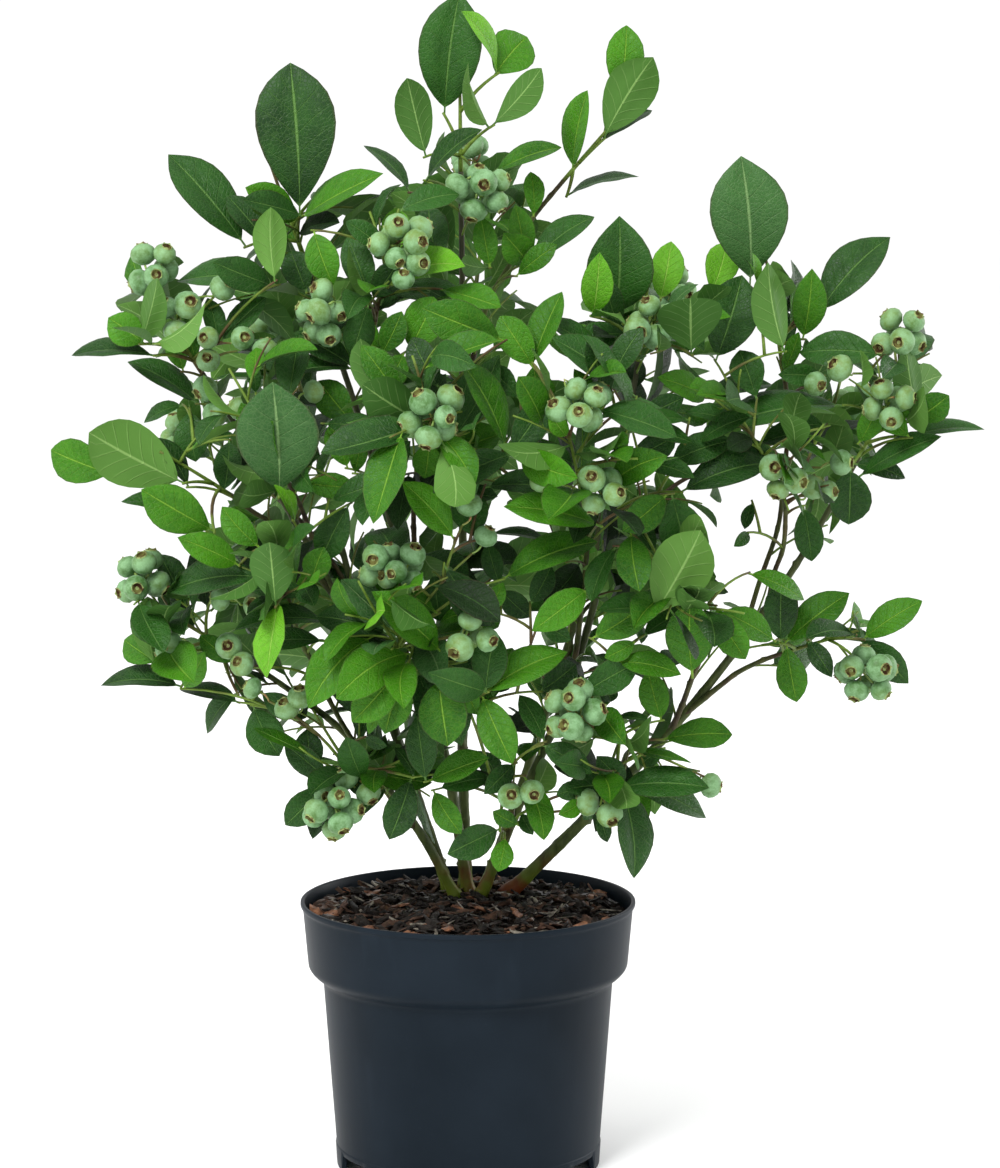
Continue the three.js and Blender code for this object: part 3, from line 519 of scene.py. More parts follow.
spray_names = list(SPRAYS)
centres = np.array([SPRAYS[name][:3] for name in spray_names], float)
reaches = np.array([SPRAYS[name][3] for name in spray_names], float)
limbs = {}


def series(seed):
    """Numbers from 0 to 1 in a fixed order: the multiplicative generator with factor 16807."""
    state = seed * 48271 % 2147483647
    for _ in range(3):
        state = state * 16807 % 2147483647
    while True:
        state = state * 16807 % 2147483647
        yield state / 2147483647


def unit(vector):
    """Vectors at length 1."""
    return vector / np.linalg.norm(vector, axis=-1, keepdims=True)


def along(points, share):
    """The point a share of the way along a run of points, the heading there, and the stretch it is on."""
    stretches = np.linalg.norm(np.diff(points, axis=0), axis=1)
    rest = min(max(share, 0), 1) * stretches.sum()
    i = 0
    while i < len(stretches) - 1 and rest > stretches[i]:
        rest -= stretches[i]
        i += 1
    heading = points[i + 1] - points[i]
    return points[i] + heading * rest / stretches[i], unit(heading), i


def taper(shares, start, end, flare=0.0):
    """A radius at each share of a limb, falling from its start to its end, with a flare at its foot."""
    return np.array([
        start + (end - start) * t ** TAPER + start * flare * exp(-t / FLARE_HEIGHT) for t in shares
    ])


def limb_to(name, start, leave, shares, radii, draw):
    """A limb to the edge of its spray: an arc that leaves in one direction and arrives turned as far
    past the straight line, and wanders a little at its nodes."""
    own = spray_names.index(name)
    straight = unit(centres[own] - start)
    arrive = unit(2 * (leave @ straight) * straight - leave)
    end = centres[own] - STEM_SHARE * reaches[own] * arrive
    handle = LIMB_HANDLE * np.linalg.norm(end - start)
    guides = (start, start + handle * leave, end - handle * arrive, end)
    points = []
    for t in shares:
        kink = np.array([next(draw) - 0.5 for _ in range(3)])
        weights = ((1 - t) ** 3, 3 * (1 - t) ** 2 * t, 3 * (1 - t) * t ** 2, t ** 3)
        wander = 2 * LIMB_KINK if 0.1 < t < 1 else 0
        points.append(sum(w * g for w, g in zip(weights, guides)) + wander * kink)
    limbs[name] = (np.array(points), radii)


draw = series(5)
for name, (x, y, radius, degrees) in CANES.items():
    start = np.array([x, y, SOIL_HEIGHT + CLEARANCE])
    level = centres[spray_names.index(name)] - start
    level[2] = 0
    leave = cos(radians(degrees)) * unit(level) + sin(radians(degrees)) * UP
    limb_to(name, start, leave, CANE_SHARES, taper(CANE_SHARES, radius, CANE_TIP_RADIUS, FLARE), draw)
for name, (parent, share) in BOUGHS.items():
    fork, heading, stretch = along(limbs[parent][0], share)
    straight = unit(centres[spray_names.index(name)] - fork)
    leave = unit(OWN_WAY * straight + PARENT_WAY * heading)
    radius = min(BOUGH_RADIUS, 0.8 * limbs[parent][1][stretch + 1])
    radii = taper(BOUGH_SHARES, radius, min(radius, BOUGH_TIP_RADIUS))
    limb_to(name, fork, leave, BOUGH_SHARES, radii, draw)


def smooth_run(points, radii, step):
    """A smooth curve through a run of points, with a point every step: each stretch is a cubic whose
    headings at its ends run between the points before and after."""
    before = np.vstack([2 * points[0] - points[1], points, 2 * points[-1] - points[-2]])
    run, thick = [], []
    for i in range(len(points) - 1):
        a, b, c, d = before[i:i + 4]
        count = max(2, ceil(np.linalg.norm(c - b) / step))
        t = (np.arange(count) / count)[:, None]
        slope_in, slope_out = (c - a) / 2, (d - b) / 2
        run.append(
            b * (2 * t ** 3 - 3 * t ** 2 + 1) + slope_in * (t ** 3 - 2 * t ** 2 + t)
            + c * (3 * t ** 2 - 2 * t ** 3) + slope_out * (t ** 3 - t ** 2)
        )
        thick.append(radii[i] + (radii[i + 1] - radii[i]) * t[:, 0])
    return np.vstack([*run, points[-1:]]), np.concatenate([*thick, radii[-1:]])


def round_frames(paths):
    """Two directions square to each path at each of its points, carried along without a twist jump."""
    tangents = unit(np.gradient(paths, axis=-2))
    side = np.where(np.abs(tangents[..., :1, :1]) < 0.8, [1.0, 0.0, 0.0], [0.0, 1.0, 0.0])[..., 0, :]
    sides = []
    for i in range(paths.shape[-2]):
        tangent = tangents[..., i, :]
        side = unit(side - (side * tangent).sum(axis=-1, keepdims=True) * tangent)
        sides.append(side)
    side = np.stack(sides, axis=-2)
    return side, np.cross(tangents, side)


def evenly_round(side, over, sides):
    """Directions evenly round from one direction by way of another that is square to it."""
    angle = (np.arange(sides) * 2 * pi / sides)[:, None]
    return np.cos(angle) * side[..., None, :] + np.sin(angle) * over[..., None, :]


def bark_rings(run, thick, sides, seed):
    """A tube on a run of points with the bark's relief: lines along it that wander, and at every old
    leaf a swelling with a scar, each a fifth of a turn and more from the last."""
    rng = np.random.default_rng(seed)
    reach = np.concatenate([[0], np.cumsum(np.linalg.norm(np.diff(run, axis=0), axis=1))])
    angle = np.arange(sides) * 2 * pi / sides
    s = reach[:, None]
    wander = 0.9 * np.sin(s / 23 + rng.uniform(0, 6)) + 0.5 * np.sin(s / 9 + rng.uniform(0, 6))
    lines = 0.035 * np.sin(5 * angle + wander) + 0.025 * np.sin(9 * angle - 2 * wander)
    relief = lines + 0.02 * rng.standard_normal((len(run), sides))
    place = rng.uniform(*FIRST_SCAR)
    turn = rng.uniform(0, 2 * pi)
    while place < reach[-1] - LAST_SCAR:
        swelling = np.exp(-((s - place) / 2.2) ** 2)
        scar = np.exp(-((s - place - 0.8) / 1.1) ** 2) * np.clip(np.cos(angle - turn), 0, 1) ** 6
        relief = relief + SWELLING_HEIGHT * swelling + SCAR_HEIGHT * scar
        place += rng.uniform(*SCAR_SPACING)
        turn += SCAR_TURN
    radius = thick[:, None] * (1 + relief)
    return run[:, None] + radius[..., None] * evenly_round(*round_frames(run), sides)


def cane_bark(start):
    """Olive bark, yellow-green with rust at the foot and greyer higher up, in long fine streaks."""
    place = start.place()
    height = place.node("ShaderNodeSeparateXYZ", {}, {"Vector": place}, out="Z")
    streak = place.noise(190, 5, stretch=(1, 1, 0.12))
    patch = place.noise(46, 3)
    foot = height.span(0.185, 0.160)
    green = streak.span(0.3, 0.7).blend(rgb(42, 54, 24), rgb(86, 98, 50))
    grey = streak.span(0.3, 0.7).blend(rgb(36, 38, 26), rgb(78, 78, 56))
    up = height.span(0.25, 0.50).blend(green, grey)
    low = patch.span(0.46, 0.60).blend(rgb(92, 106, 26), rgb(104, 52, 24))
    return {
        "Base Color": foot.blend(up, low),
        "Roughness": 0.55,
        "Specular IOR Level": 0.2,
        "Normal": start.bump(streak, 0.0006, 0.7),
    }


def bough_bark(start):
    """Thin brown bark, partly olive, with fine streaks."""
    place = start.place()
    streak = place.noise(240, 5, stretch=(1, 1, 0.2))
    patch = place.noise(38, 3).span(0.40, 0.62)
    brown = streak.span(0.3, 0.7).blend(rgb(38, 31, 22), rgb(78, 64, 44))
    olive = streak.span(0.3, 0.7).blend(rgb(50, 60, 26), rgb(92, 104, 52))
    return {
        "Base Color": patch.blend(brown, olive),
        "Roughness": 0.6,
        "Specular IOR Level": 0.2,
        "Normal": start.bump(streak, 0.0005, 0.7),
    }


olive_bark = finish("olive_bark", cane_bark)
brown_bark = finish("brown_bark", bough_bark)
for number, (name, (points, radii)) in enumerate(limbs.items()):
    kind = "cane" if name in CANES else "bough"
    run, thick = smooth_run(points, radii, LIMB_STEP)
    if kind == "cane":
        run = np.vstack([run[:1] - SUNK * unit(run[1] - run[0]), run])
        thick = np.concatenate([thick[:1], thick])
    else:
        distance = np.linalg.norm(run - run[0], axis=1)
        thick = thick * (1 + FORK_SWELL * np.exp(-distance / FORK_SWELL_LENGTH))
    rings = bark_rings(run, thick, LIMB_SIDES[kind], 40 + number)
    bark = olive_bark if kind == "cane" else brown_bark
    limb = piece(kind + "_bark_" + name, *capped(rings, run[0], run[-1]), [bark])
    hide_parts(kind + "_" + name)


# ---- Twigs ----------------------------------------------------------------------------------------
# The limbs grow on into green and brown twigs. A spray has a stem, shoots that end in its leading
# leaves, a twig to each cluster of fruit, a few more all round, and short sprigs off all of these.
# A twig, leaf or berry keeps to its spray's own space and clear of limbs and of what grew before it.

# Room that things keep, and how closely they are dotted to test it: rows and columns on a leaf.
SPACE_MARGIN = 0.5
TWIG_MARGIN = 2
TWIG_GAP = 2.5
LIMB_GAP = 1.2
LEAF_GAP = 2.8
LOWEST_LEAF = 186
LOWEST_SPRIG = 211
NEARBY = 8
DOT_SPACING = 5
BALL_POINTS = 24
LEADING_GRID = (9, 7)
LEAF_GRID = (7, 5)

# Stems and side twigs.
GOLDEN_ANGLE = 2.39996
CREST_SHARE = 0.3
FORK_DROP = 0.4
TWIG_SPACING = 32
TWIG_TRIES = (1, 0.8, 0.6)
TWIG_LENGTH = 0.5
TWIG_GROWTH = 0.25
TWIG_TILT = 75
TWIG_LIFT = 35
TWIG_BOW = 0.16
TWIG_ROWS = 7
TWIG_SIDES = 6
FRONT_RISE = 0.25
LIMB_DOTS = 4

# Sprigs, on twigs and on limbs.
SPRIG_SPACING = 17
SPRIG_LENGTH = 24
SPRIG_GROWTH = 18
SPRIG_TILT = 55
LIMB_SPRIG_SPACING = 15
LIMB_SPRIG_BARE = 8

# Leading leaves: the last is each gap to try, with how much nearer to the eye.
LEADING_BREADTH = 0.46
LEADING_SPACING = 2.5
LEADING_TRIES = [(gap, nearer) for gap in (2.5, 1, 0) for nearer in (0, 8, -8, 16, -16, 24)]

# All other leaves: the last is each swing to try, with how much of the length.
LEAF_LENGTH = 49
SMALLEST_LEAF = 0.72
LEAF_GROWTH = 0.5
LEAF_BREADTH = 0.46
LEAF_ARCH = 0.07
LEAF_SINK = 1.8
LEAF_SPACING = 8.5
BARE_LENGTH = 6
LEAF_SPREAD = 0.95
END_LEAF_SPREAD = 0.2
LEAF_DROOP = 0.22
OUTWARD = 0.7
UPWARD = 0.75
ASTRAY = 1.2
HEART = np.array([0.0, 20.0, 360.0])
LEAF_REACH = 1.2
LEAF_LEAN = 0.32
LEAF_TRIES = ((0, 1), (0.7, 1), (-0.7, 1), (0, 0.75), (0.9, 0.75), (-0.9, 0.75))

# Berries and their clusters.
BERRY_RADIUS = 7.7
SMALLEST_BERRY = 0.86
BERRY_GROWTH = 0.24
HUB_BACK = 5
FRUIT_BACK = 12
SETTLING_STEPS = 60

# Radii of a twig at its foot and at its end, by what it carries.
TWIG_RADII = {
    "fruit": (0.95, 0.7),
    "shoot": (1.25, 0.8),
    "side": (1.1, 0.7),
    "sprig": (0.75, 0.55),
    "front": (1.0, 0.65),
}
STEM_END_RADIUS = 0.8

# Leading shoots of a spray: where the shoot ends, then for each leaf there its tip, the breadth that it
# shows to the front, and its tone, as under Leaves. A pale one turns its underside to the front.
SHOOTS = {
    "top": [
        ((-14, -5, 625), (-4, -15, 693, 36, "old")),
        ((19, -10, 648), (-3, -25, 682, 10, "new"), (35, 10, 669, 27, "mid")),
        ((16, -10, 618), (43, -22, 650, 18, "pale"), (1, -30, 653, 9, "pale")),
        ((-25, -20, 599), (-34, -35, 644, 21, "pale")),
    ],
    "top_right": [
        ((60, 15, 591), (70, 0, 638, 14, "mid")),
        ((81, 15, 611), (108, 0, 657, 29, "pale"), (109, 30, 627, 11, "old")),
        ((58, 20, 576), (101, 20, 588, 7, "old")),
    ],
    "left_peak": [
        ((-96, -25, 566), (-101, -25, 653, 46, "old"), (-48, -20, 590, 16, "mid"),
         (-126, -45, 582, 18, "mid")),
        ((-130, -10, 547), (-174, 0, 601, 26, "old")),
    ],
    "left_upper": [
        ((-187, -50, 493), (-175, -60, 531, 16, "pale"), (-205, -45, 508, 20, "mid")),
        ((-180, -40, 486), (-227, -40, 486, 9, "old")),
    ],
    "left_mid": [
        ((-162, -60, 414), (-214, -70, 444, 37, "pale")),
        ((-142, -84, 388), (-182, -96, 414, 26, "mid")),
        ((-206, -40, 417), (-241, -30, 431, 25, "mid")),
    ],
    # This leaf's bluish tone is a painted sheen.
    "left_front": [((-104, -108, 410), (-106, -124, 476, 46, "painted_sheen"))],
    "left_inner": [((-106, -118, 350), (-108, -132, 388, 25, "pale"))],
    "left_arm": [
        ((-183, -40, 305), (-184, -50, 348, 18, "pale"), (-200, -30, 320, 18, "mid")),
        ((-167, -35, 292), (-214, -30, 293, 9, "old")),
        ((-133, -35, 288), (-153, -20, 263, 11, "old")),
    ],
    "low_left": [
        ((-82, -60, 239), (-105, -60, 216, 18, "old")),
        ((-30, -78, 247), (-44, -88, 213, 19, "old")),
    ],
    "centre_low": [((-14, -120, 310), (-10, -125, 273, 27, "mid"))],
    "low_centre": [
        ((19, -70, 214), (-11, -90, 205, 19, "old")),
        ((34, -88, 250), (44, -100, 215, 15, "mid")),
    ],
    "right_low_front": [
        ((86, -95, 243), (137, -105, 246, 16, "old"), (137, -80, 224, 14, "old"),
         (95, -100, 193, 20, "old")),
        ((114, -60, 266), (153, -60, 269, 16, "mid")),
    ],
    "right_inner": [
        ((104, -110, 344), (130, -125, 394, 34, "pale")),
        ((128, -90, 306), (126, -100, 352, 27, "mid")),
    ],
    "right_low_arm": [
        ((182, -30, 318), (183, -35, 357, 20, "old"), (223, -25, 347, 18, "mid"),
         (192, -35, 284, 18, "mid")),
        ((232, -30, 320), (265, -30, 343, 16, "mid"), (257, -35, 295, 18, "old")),
    ],
    "right_peak": [
        # The large leaf's bluish tone is a painted sheen.
        ((163, -15, 526), (158, -20, 600, 45, "painted_sheen")),
        ((207, 0, 509), (248, 10, 553, 24, "old")),
        ((140, -5, 520), (152, 10, 550, 20, "new")),
    ],
    "right_upper": [
        ((84, -40, 509), (87, -50, 566, 38, "old")),
        ((70, -70, 510), (75, -80, 546, 18, "new")),
        ((128, -76, 488), (125, -95, 521, 36, "pale")),
        ((112, -28, 518), (118, -20, 551, 19, "new")),
    ],
    "right_arm": [
        ((262, -30, 448), (252, -40, 491, 18, "pale"), (280, -20, 462, 18, "mid")),
        ((259, -20, 438), (301, -20, 442, 8, "old")),
        ((223, -15, 418), (223, -15, 386, 25, "old"), (256, -14, 413, 11, "old")),
    ],
}

# Clusters of fruit in a spray: middle x, y, z and the number of berries.
CLUSTERS = {
    "top": [(8, -36, 582, 8)],
    "centre_upper": [(-37, -78, 552, 7), (-80, -76, 512, 7)],
    "left_upper": [(-178, -45, 536, 5), (-165, -50, 510, 3)],
    "left_arm": [(-188, -40, 358, 7)],
    "low_left": [(-76, -85, 231, 8), (-63, -72, 242, 2)],
    "centre_front": [(-18, -135, 458, 7)],
    "centre_low": [(-36, -122, 373, 6), (2, -125, 336, 4)],
    "right_front": [(63, -140, 464, 7), (74, -130, 418, 4)],
    "right_low_front": [(61, -115, 291, 8), (140, -60, 243, 1), (76, -95, 234, 2)],
    "right_upper": [(107, -70, 508, 5)],
    "right_arm": [(251, -30, 498, 7), (243, -40, 459, 5)],
    "right_low_arm": [(230, -45, 304, 8)],
    "right_mid": [(178, -80, 420, 3)],
    "back_left_high": [(-126, 160, 500, 6)],
    "back_right_high": [(128, 168, 515, 7)],
    "back_centre": [(-12, 215, 440, 6)],
    "back_left_low": [(-150, 155, 345, 5)],
    "back_right_low": [(112, 172, 352, 6)],
    "back_top": [(2, 128, 600, 5)],
    "back_right_side": [(240, 112, 450, 5)],
    "back_left_side": [(-178, 100, 432, 5)],
}

# The frame, in pixels, in which the shoots and berries below were placed, and the eye that sees it. The
# eye is EYE before its rounding to a tenth of a millimetre.
IMAGE_WIDTH = 1000
IMAGE_HEIGHT = 1168
FOCAL_PIXELS = 3410.27
FRAME_EYE = np.array([19.062, -2000.0, 586.075])
FRAME_LOOK_DOWN = 6.7537
NARROWEST = 3

# More shoots at the front: where each ends as column, row and y, then each leaf's tip in the same way, its
# breadth in pixels and its tone. Each grows from the nearest limb.
FRONT_SHOOTS = [
    ((424, 180, -25), (482, 129, -18, 20, "old")),
    ((495, 174, -12), (562, 147, -5, 18, "mid")),
    ((533, 264, -20), (594, 216, -8, 26, "old"), (504, 232, -28, 32, "mid"), (516, 205, -14, 26, "mid")),
    ((534, 216, 0), (531, 171, 6, 20, "mid")),
    ((492, 268, -30), (480, 216, -26, 24, "mid"), (462, 262, -45, 20, "pale")),
    ((399, 209, -62), (459, 194, -50, 26, "old")),
    ((445, 268, -40), (412, 237, -52, 27, "old"), (428, 205, -25, 36, "old")),
    ((408, 193, -20), (363, 145, -10, 12, "old")),
    ((518, 277, -25), (556, 245, -15, 22, "mid")),
    ((303, 216, -30), (243, 199, -40, 24, "old")),
    ((277, 280, -62), (270, 207, -68, 34, "pale")),
    ((310, 230, -62), (333, 286, -66, 34, "mid")),
    ((306, 292, -40), (291, 250, -34, 32, "old")),
    ((281, 285, -48), (176, 281, -30, 28, "old"), (213, 262, -54, 34, "old")),
    ((222, 342, -45), (266, 298, -56, 26, "old")),
    ((369, 299, -55), (347, 237, -45, 32, "old"), (398, 262, -50, 28, "old")),
    ((368, 303, -70), (352, 357, -78, 32, "old")),
    ((373, 401, -95), (361, 339, -88, 28, "pale")),
    ((352, 366, -60), (293, 333, -52, 26, "old"), (270, 379, -55, 16, "old")),
    ((238, 351, -50), (300, 370, -60, 16, "old")),
    ((180, 372, -25), (172, 334, -18, 22, "mid")),
    ((196, 360, -25), (186, 318, -18, 22, "mid")),
    ((196, 404, -20), (128, 362, -12, 22, "old")),
    ((507, 340, -100), (422, 308, -112, 46, "mid")),
    ((410, 348, -82), (434, 296, -76, 40, "mid"), (383, 392, -86, 26, "mid")),
    ((530, 364, -90), (563, 291, -80, 28, "mid"), (500, 316, -72, 34, "mid")),
    ((532, 362, -94), (541, 400, -100, 36, "mid")),
    ((441, 386, -100), (413, 337, -92, 30, "old")),
    ((503, 450, -118), (460, 361, -128, 30, "mid"), (547, 398, -108, 34, "old"),
     (432, 494, -130, 32, "old"), (578, 478, -126, 34, "mid")),
    ((418, 406, -98), (374, 408, -90, 24, "old")),
    ((462, 412, -102), (472, 371, -96, 24, "old")),
    ((362, 482, -85), (410, 440, -92, 36, "old")),
    ((430, 440, -102), (424, 479, -106, 30, "mid")),
    ((520, 398, -86), (487, 366, -80, 24, "old")),
    ((455, 538, -115), (402, 481, -125, 32, "mid")),
    ((480, 540, -108), (468, 490, -102, 38, "old")),
    ((602, 526, -115), (503, 506, -125, 28, "mid")),
    ((485, 484, -96), (562, 490, -102, 20, "old")),
    ((640, 398, -90), (552, 338, -100, 30, "old")),
    ((602, 362, -78), (547, 320, -84, 20, "old")),
    ((612, 378, -95), (642, 328, -86, 26, "old")),
    ((566, 436, -128), (550, 412, -134, 18, "new")),
    ((715, 360, -42), (742, 275, -36, 52, "old")),
    ((787, 352, -50), (768, 262, -58, 36, "pale")),
    ((757, 282, -42), (753, 252, -46, 9, "new"), (747, 262, -40, 6, "new")),
    ((806, 340, -10), (812, 268, -4, 34, "mid")),
    ((885, 354, -35), (800, 352, -28, 34, "old")),
    ((757, 398, -40), (740, 350, -34, 34, "old")),
    ((700, 398, -40), (772, 384, -34, 15, "old"), (657, 378, -66, 24, "mid")),
    ((842, 405, -30), (718, 428, -46, 24, "old")),
    ((828, 424, -25), (778, 424, -35, 20, "old")),
    ((815, 430, -16), (760, 444, -22, 20, "old")),
    ((826, 376, -30), (778, 374, -38, 22, "old")),
    ((640, 420, -80), (684, 398, -74, 24, "old")),
    ((858, 443, -22), (880, 403, -28, 24, "mid")),
    ((912, 438, -30), (878, 408, -24, 28, "mid")),
    ((860, 477, -15), (942, 437, -20, 18, "old")),
    ((783, 470, -48), (722, 444, -54, 26, "old")),
    ((683, 492, -70), (768, 463, -62, 34, "old")),
    ((786, 484, -30), (752, 515, -36, 20, "old")),
    ((748, 532, -40), (733, 546, -42, 13, "old")),
    ((187, 488, -50), (157, 437, -42, 18, "old")),
    ((190, 515, -70), (121, 502, -64, 14, "old")),
    ((240, 566, -88), (177, 538, -96, 30, "mid")),
    ((262, 576, -80), (168, 592, -70, 28, "old")),
    ((190, 408, -35), (196, 462, -42, 34, "old")),
    ((232, 440, -58), (225, 489, -64, 28, "old")),
    ((240, 436, -50), (204, 438, -45, 13, "old")),
    ((182, 405, -25), (143, 422, -20, 14, "old")),
    ((262, 546, -88), (222, 506, -82, 28, "mid")),
    ((320, 598, -90), (250, 590, -84, 16, "old")),
    ((330, 622, -85), (234, 631, -78, 18, "old")),
    ((325, 642, -80), (250, 645, -74, 18, "old")),
    ((232, 664, -45), (200, 635, -40, 22, "mid")),
    ((180, 688, -35), (204, 651, -42, 22, "mid")),
    ((440, 650, -118), (371, 592, -126, 36, "mid")),
    ((440, 612, -108), (372, 580, -102, 26, "mid")),
    ((388, 632, -110), (316, 616, -102, 30, "old")),
    ((398, 668, -122), (352, 722, -134, 40, "mid"), (384, 734, -126, 40, "mid")),
    ((490, 692, -120), (427, 672, -128, 34, "old"), (497, 632, -108, 36, "old"),
     (567, 652, -110, 30, "mid"), (512, 764, -130, 36, "mid")),
    ((505, 686, -106), (513, 647, -100, 24, "mid")),
    ((542, 692, -100), (576, 663, -94, 34, "old")),
    ((445, 562, -115), (495, 627, -122, 38, "old")),
    ((505, 578, -108), (598, 541, -100, 30, "mid")),
    ((590, 588, -104), (532, 631, -112, 34, "mid")),
    ((540, 618, -96), (571, 641, -100, 20, "old")),
    ((432, 572, -98), (440, 622, -92, 26, "old")),
    ((352, 502, -88), (321, 561, -94, 34, "old")),
    ((312, 584, -96), (324, 546, -90, 28, "mid")),
    ((362, 780, -74), (346, 737, -68, 32, "old")),
    ((308, 774, -62), (308, 728, -56, 30, "old")),
    ((326, 780, -68), (284, 743, -62, 26, "old")),
    ((366, 736, -85), (387, 746, -88, 12, "old")),
    ((412, 778, -88), (394, 747, -86, 10, "old")),
    ((424, 782, -92), (416, 715, -97, 32, "old"), (489, 758, -104, 26, "mid")),
    ((432, 790, -80), (462, 834, -86, 26, "mid")),
    ((492, 778, -88), (441, 787, -94, 18, "old")),
    ((518, 762, -85), (484, 794, -92, 24, "old")),
    ((505, 838, -78), (499, 871, -86, 24, "mid")),
    ((520, 826, -82), (493, 812, -86, 18, "mid")),
    ((522, 813, -80), (534, 835, -84, 15, "old")),
    ((545, 745, -100), (592, 774, -106, 26, "old")),
    ((628, 786, -80), (597, 756, -86, 26, "old"), (566, 790, -94, 24, "old")),
    ((598, 704, -90), (626, 745, -96, 30, "mid")),
    ((618, 714, -78), (649, 721, -84, 8, "old")),
    ((576, 694, -98), (638, 662, -90, 34, "old")),
    ((606, 676, -86), (612, 701, -92, 18, "old")),
    ((638, 640, -95), (604, 658, -98, 20, "mid")),
    ((618, 660, -96), (681, 674, -102, 24, "mid")),
    ((665, 720, -76), (648, 670, -84, 30, "mid")),
    ((665, 747, -70), (640, 765, -76, 18, "old")),
    ((598, 814, -92), (608, 843, -96, 14, "old")),
    ((588, 638, -100), (655, 595, -94, 36, "mid")),
    ((645, 635, -90), (692, 608, -82, 16, "old")),
    ((718, 606, -85), (746, 660, -90, 32, "mid")),
    ((776, 641, -60), (722, 612, -72, 28, "mid")),
    ((750, 572, -50), (804, 600, -44, 20, "mid")),
    ((675, 494, -98), (688, 557, -92, 46, "old"), (622, 532, -112, 34, "mid")),
    ((628, 530, -104), (640, 591, -110, 36, "mid")),
    ((612, 546, -104), (592, 602, -110, 22, "old")),
    ((735, 440, -58), (672, 462, -66, 30, "old")),
    ((700, 440, -62), (750, 417, -56, 20, "old")),
    ((268, 250, -15), (228, 196, -8, 26, "old")),
    ((250, 706, -40), (280, 756, -46, 38, "old")),
    ((238, 703, -35), (180, 690, -32, 12, "old")),
    ((262, 690, -50), (300, 716, -56, 24, "old")),
    ((585, 800, -90), (558, 815, -96, 18, "mid")),
    ((590, 786, -88), (556, 795, -94, 20, "old")),
    ((806, 506, -12), (812, 561, -12, 30, "old")),
    ((292, 520, -118), (274, 484, -122, 9, "new"), (285, 490, -121, 6, "new")),
    ((546, 541, -70), (493, 533, -66, 9, "old")),
    ((530, 602, -90), (552, 566, -86, 24, "old")),
    ((484, 612, -104), (503, 582, -100, 18, "mid")),
    ((500, 588, -80), (530, 618, -76, 24, "old")),
    ((500, 582, -84), (488, 544, -80, 22, "old")),
    ((345, 468, -72), (330, 424, -68, 26, "mid")),
    ((352, 420, -66), (318, 380, -62, 36, "mid")),
    ((320, 424, -80), (384, 430, -84, 22, "old")),
    ((330, 498, -88), (392, 480, -92, 26, "old")),
    ((256, 390, -60), (254, 364, -62, 14, "old")),
    ((690, 418, -80), (640, 424, -86, 14, "old")),
    ((735, 425, -60), (684, 412, -66, 16, "old")),
    ((632, 428, -88), (694, 444, -84, 16, "old")),
    ((620, 462, -86), (676, 436, -90, 28, "old")),
    ((378, 352, -84), (402, 312, -80, 26, "mid")),
    ((385, 250, -60), (346, 222, -64, 22, "old")),
    ((700, 772, -62), (672, 781, -66, 12, "old")),
    ((752, 500, -30), (744, 530, -32, 12, "old")),
    ((618, 92, 12), (626, 25, 16, 38, "mid")),
    ((548, 742, -96), (520, 694, -92, 24, "old")),
    ((808, 640, -32), (832, 678, -38, 20, "old")),
    ((345, 770, -66), (372, 798, -72, 20, "old")),
    ((642, 462, -84), (694, 478, -80, 18, "old")),
    ((222, 344, -40), (208, 298, -34, 20, "old")),
    ((352, 474, -72), (362, 436, -70, 18, "mid")),
]

# Berries at the front on twigs of their own: column, row, y and how many.
FRONT_FRUIT = [
    (541, 481, -122, 1), (486, 537, -112, 1), (222, 289, -54, 1), (243, 338, -62, 1), (265, 350, -64, 1),
    (208, 338, -56, 1), (209, 361, -56, 1), (205, 388, -52, 1), (240, 408, -58, 1), (215, 414, -54, 1),
    (313, 392, -84, 1), (840, 369, -46, 1), (815, 384, -42, 1), (841, 463, -46, 1), (812, 488, -40, 1),
    (828, 492, -44, 1), (221, 598, -60, 1), (256, 606, -68, 1), (229, 646, -56, 1), (242, 664, -60, 1),
    (253, 688, -60, 1), (287, 708, -66, 1), (300, 698, -68, 1), (170, 648, -48, 2), (510, 796, -104, 1),
    (531, 792, -106, 1), (403, 279, -88, 1), (418, 264, -86, 1), (470, 505, -116, 1), (637, 331, -84, 1),
    (373, 566, -124, 2),
]


def sighted(column, row, y):
    """The place at depth y that the eye sees at a column and row, in whole millimetres. It is on the ray
    that goes the focal length ahead, column less half the width to the right and half the height less row
    up, with ahead and up turned down together by the angle that the eye looks down."""
    down = radians(FRAME_LOOK_DOWN)
    ahead, right, up = FOCAL_PIXELS, column - IMAGE_WIDTH / 2, IMAGE_HEIGHT / 2 - row
    ray = np.array([right, ahead * cos(down) + up * sin(down), up * cos(down) - ahead * sin(down)])
    return np.round(FRAME_EYE + ray * (y - FRAME_EYE[1]) / ray[1]) + 0.0


def sighted_leaf(column, row, y, breadth, tone):
    """A leaf's tip, breadth and tone. The breadth in pixels, times the distance along y over the focal
    length, gives whole millimetres, and the narrowest leaf has a least breadth."""
    breadth = max(NARROWEST, round(breadth * (y - FRAME_EYE[1]) / FOCAL_PIXELS))
    return (*sighted(column, row, y), breadth, tone)


# How a spray's other leaves share out: old, mid, new and the bluish one with painted sheen, of 100;
# the rest take the darkest tone, which is painted shade deep in the crown.
TONE_SHARES = {
    "centre_low": (30, 52, 3, 5),
    "low_centre": (36, 50, 4, 5),
    "low_left": (46, 38, 3, 8),
    "left_inner": (40, 42, 4, 8),
    "right_inner": (34, 50, 4, 7),
    "centre_front": (40, 42, 3, 8),
    "top": (44, 38, 8, 8),
    "top_right": (44, 38, 8, 8),
}
OTHER_SHARES = (47, 34, 3, 10)
# The sprigs on the limbs, inside the crown, leave about half their leaves to the darkest tone, painted
# shade.
INNER_SHARES = (26, 18, 0, 4)
UNDERSIDES_SHOWN = 0.08

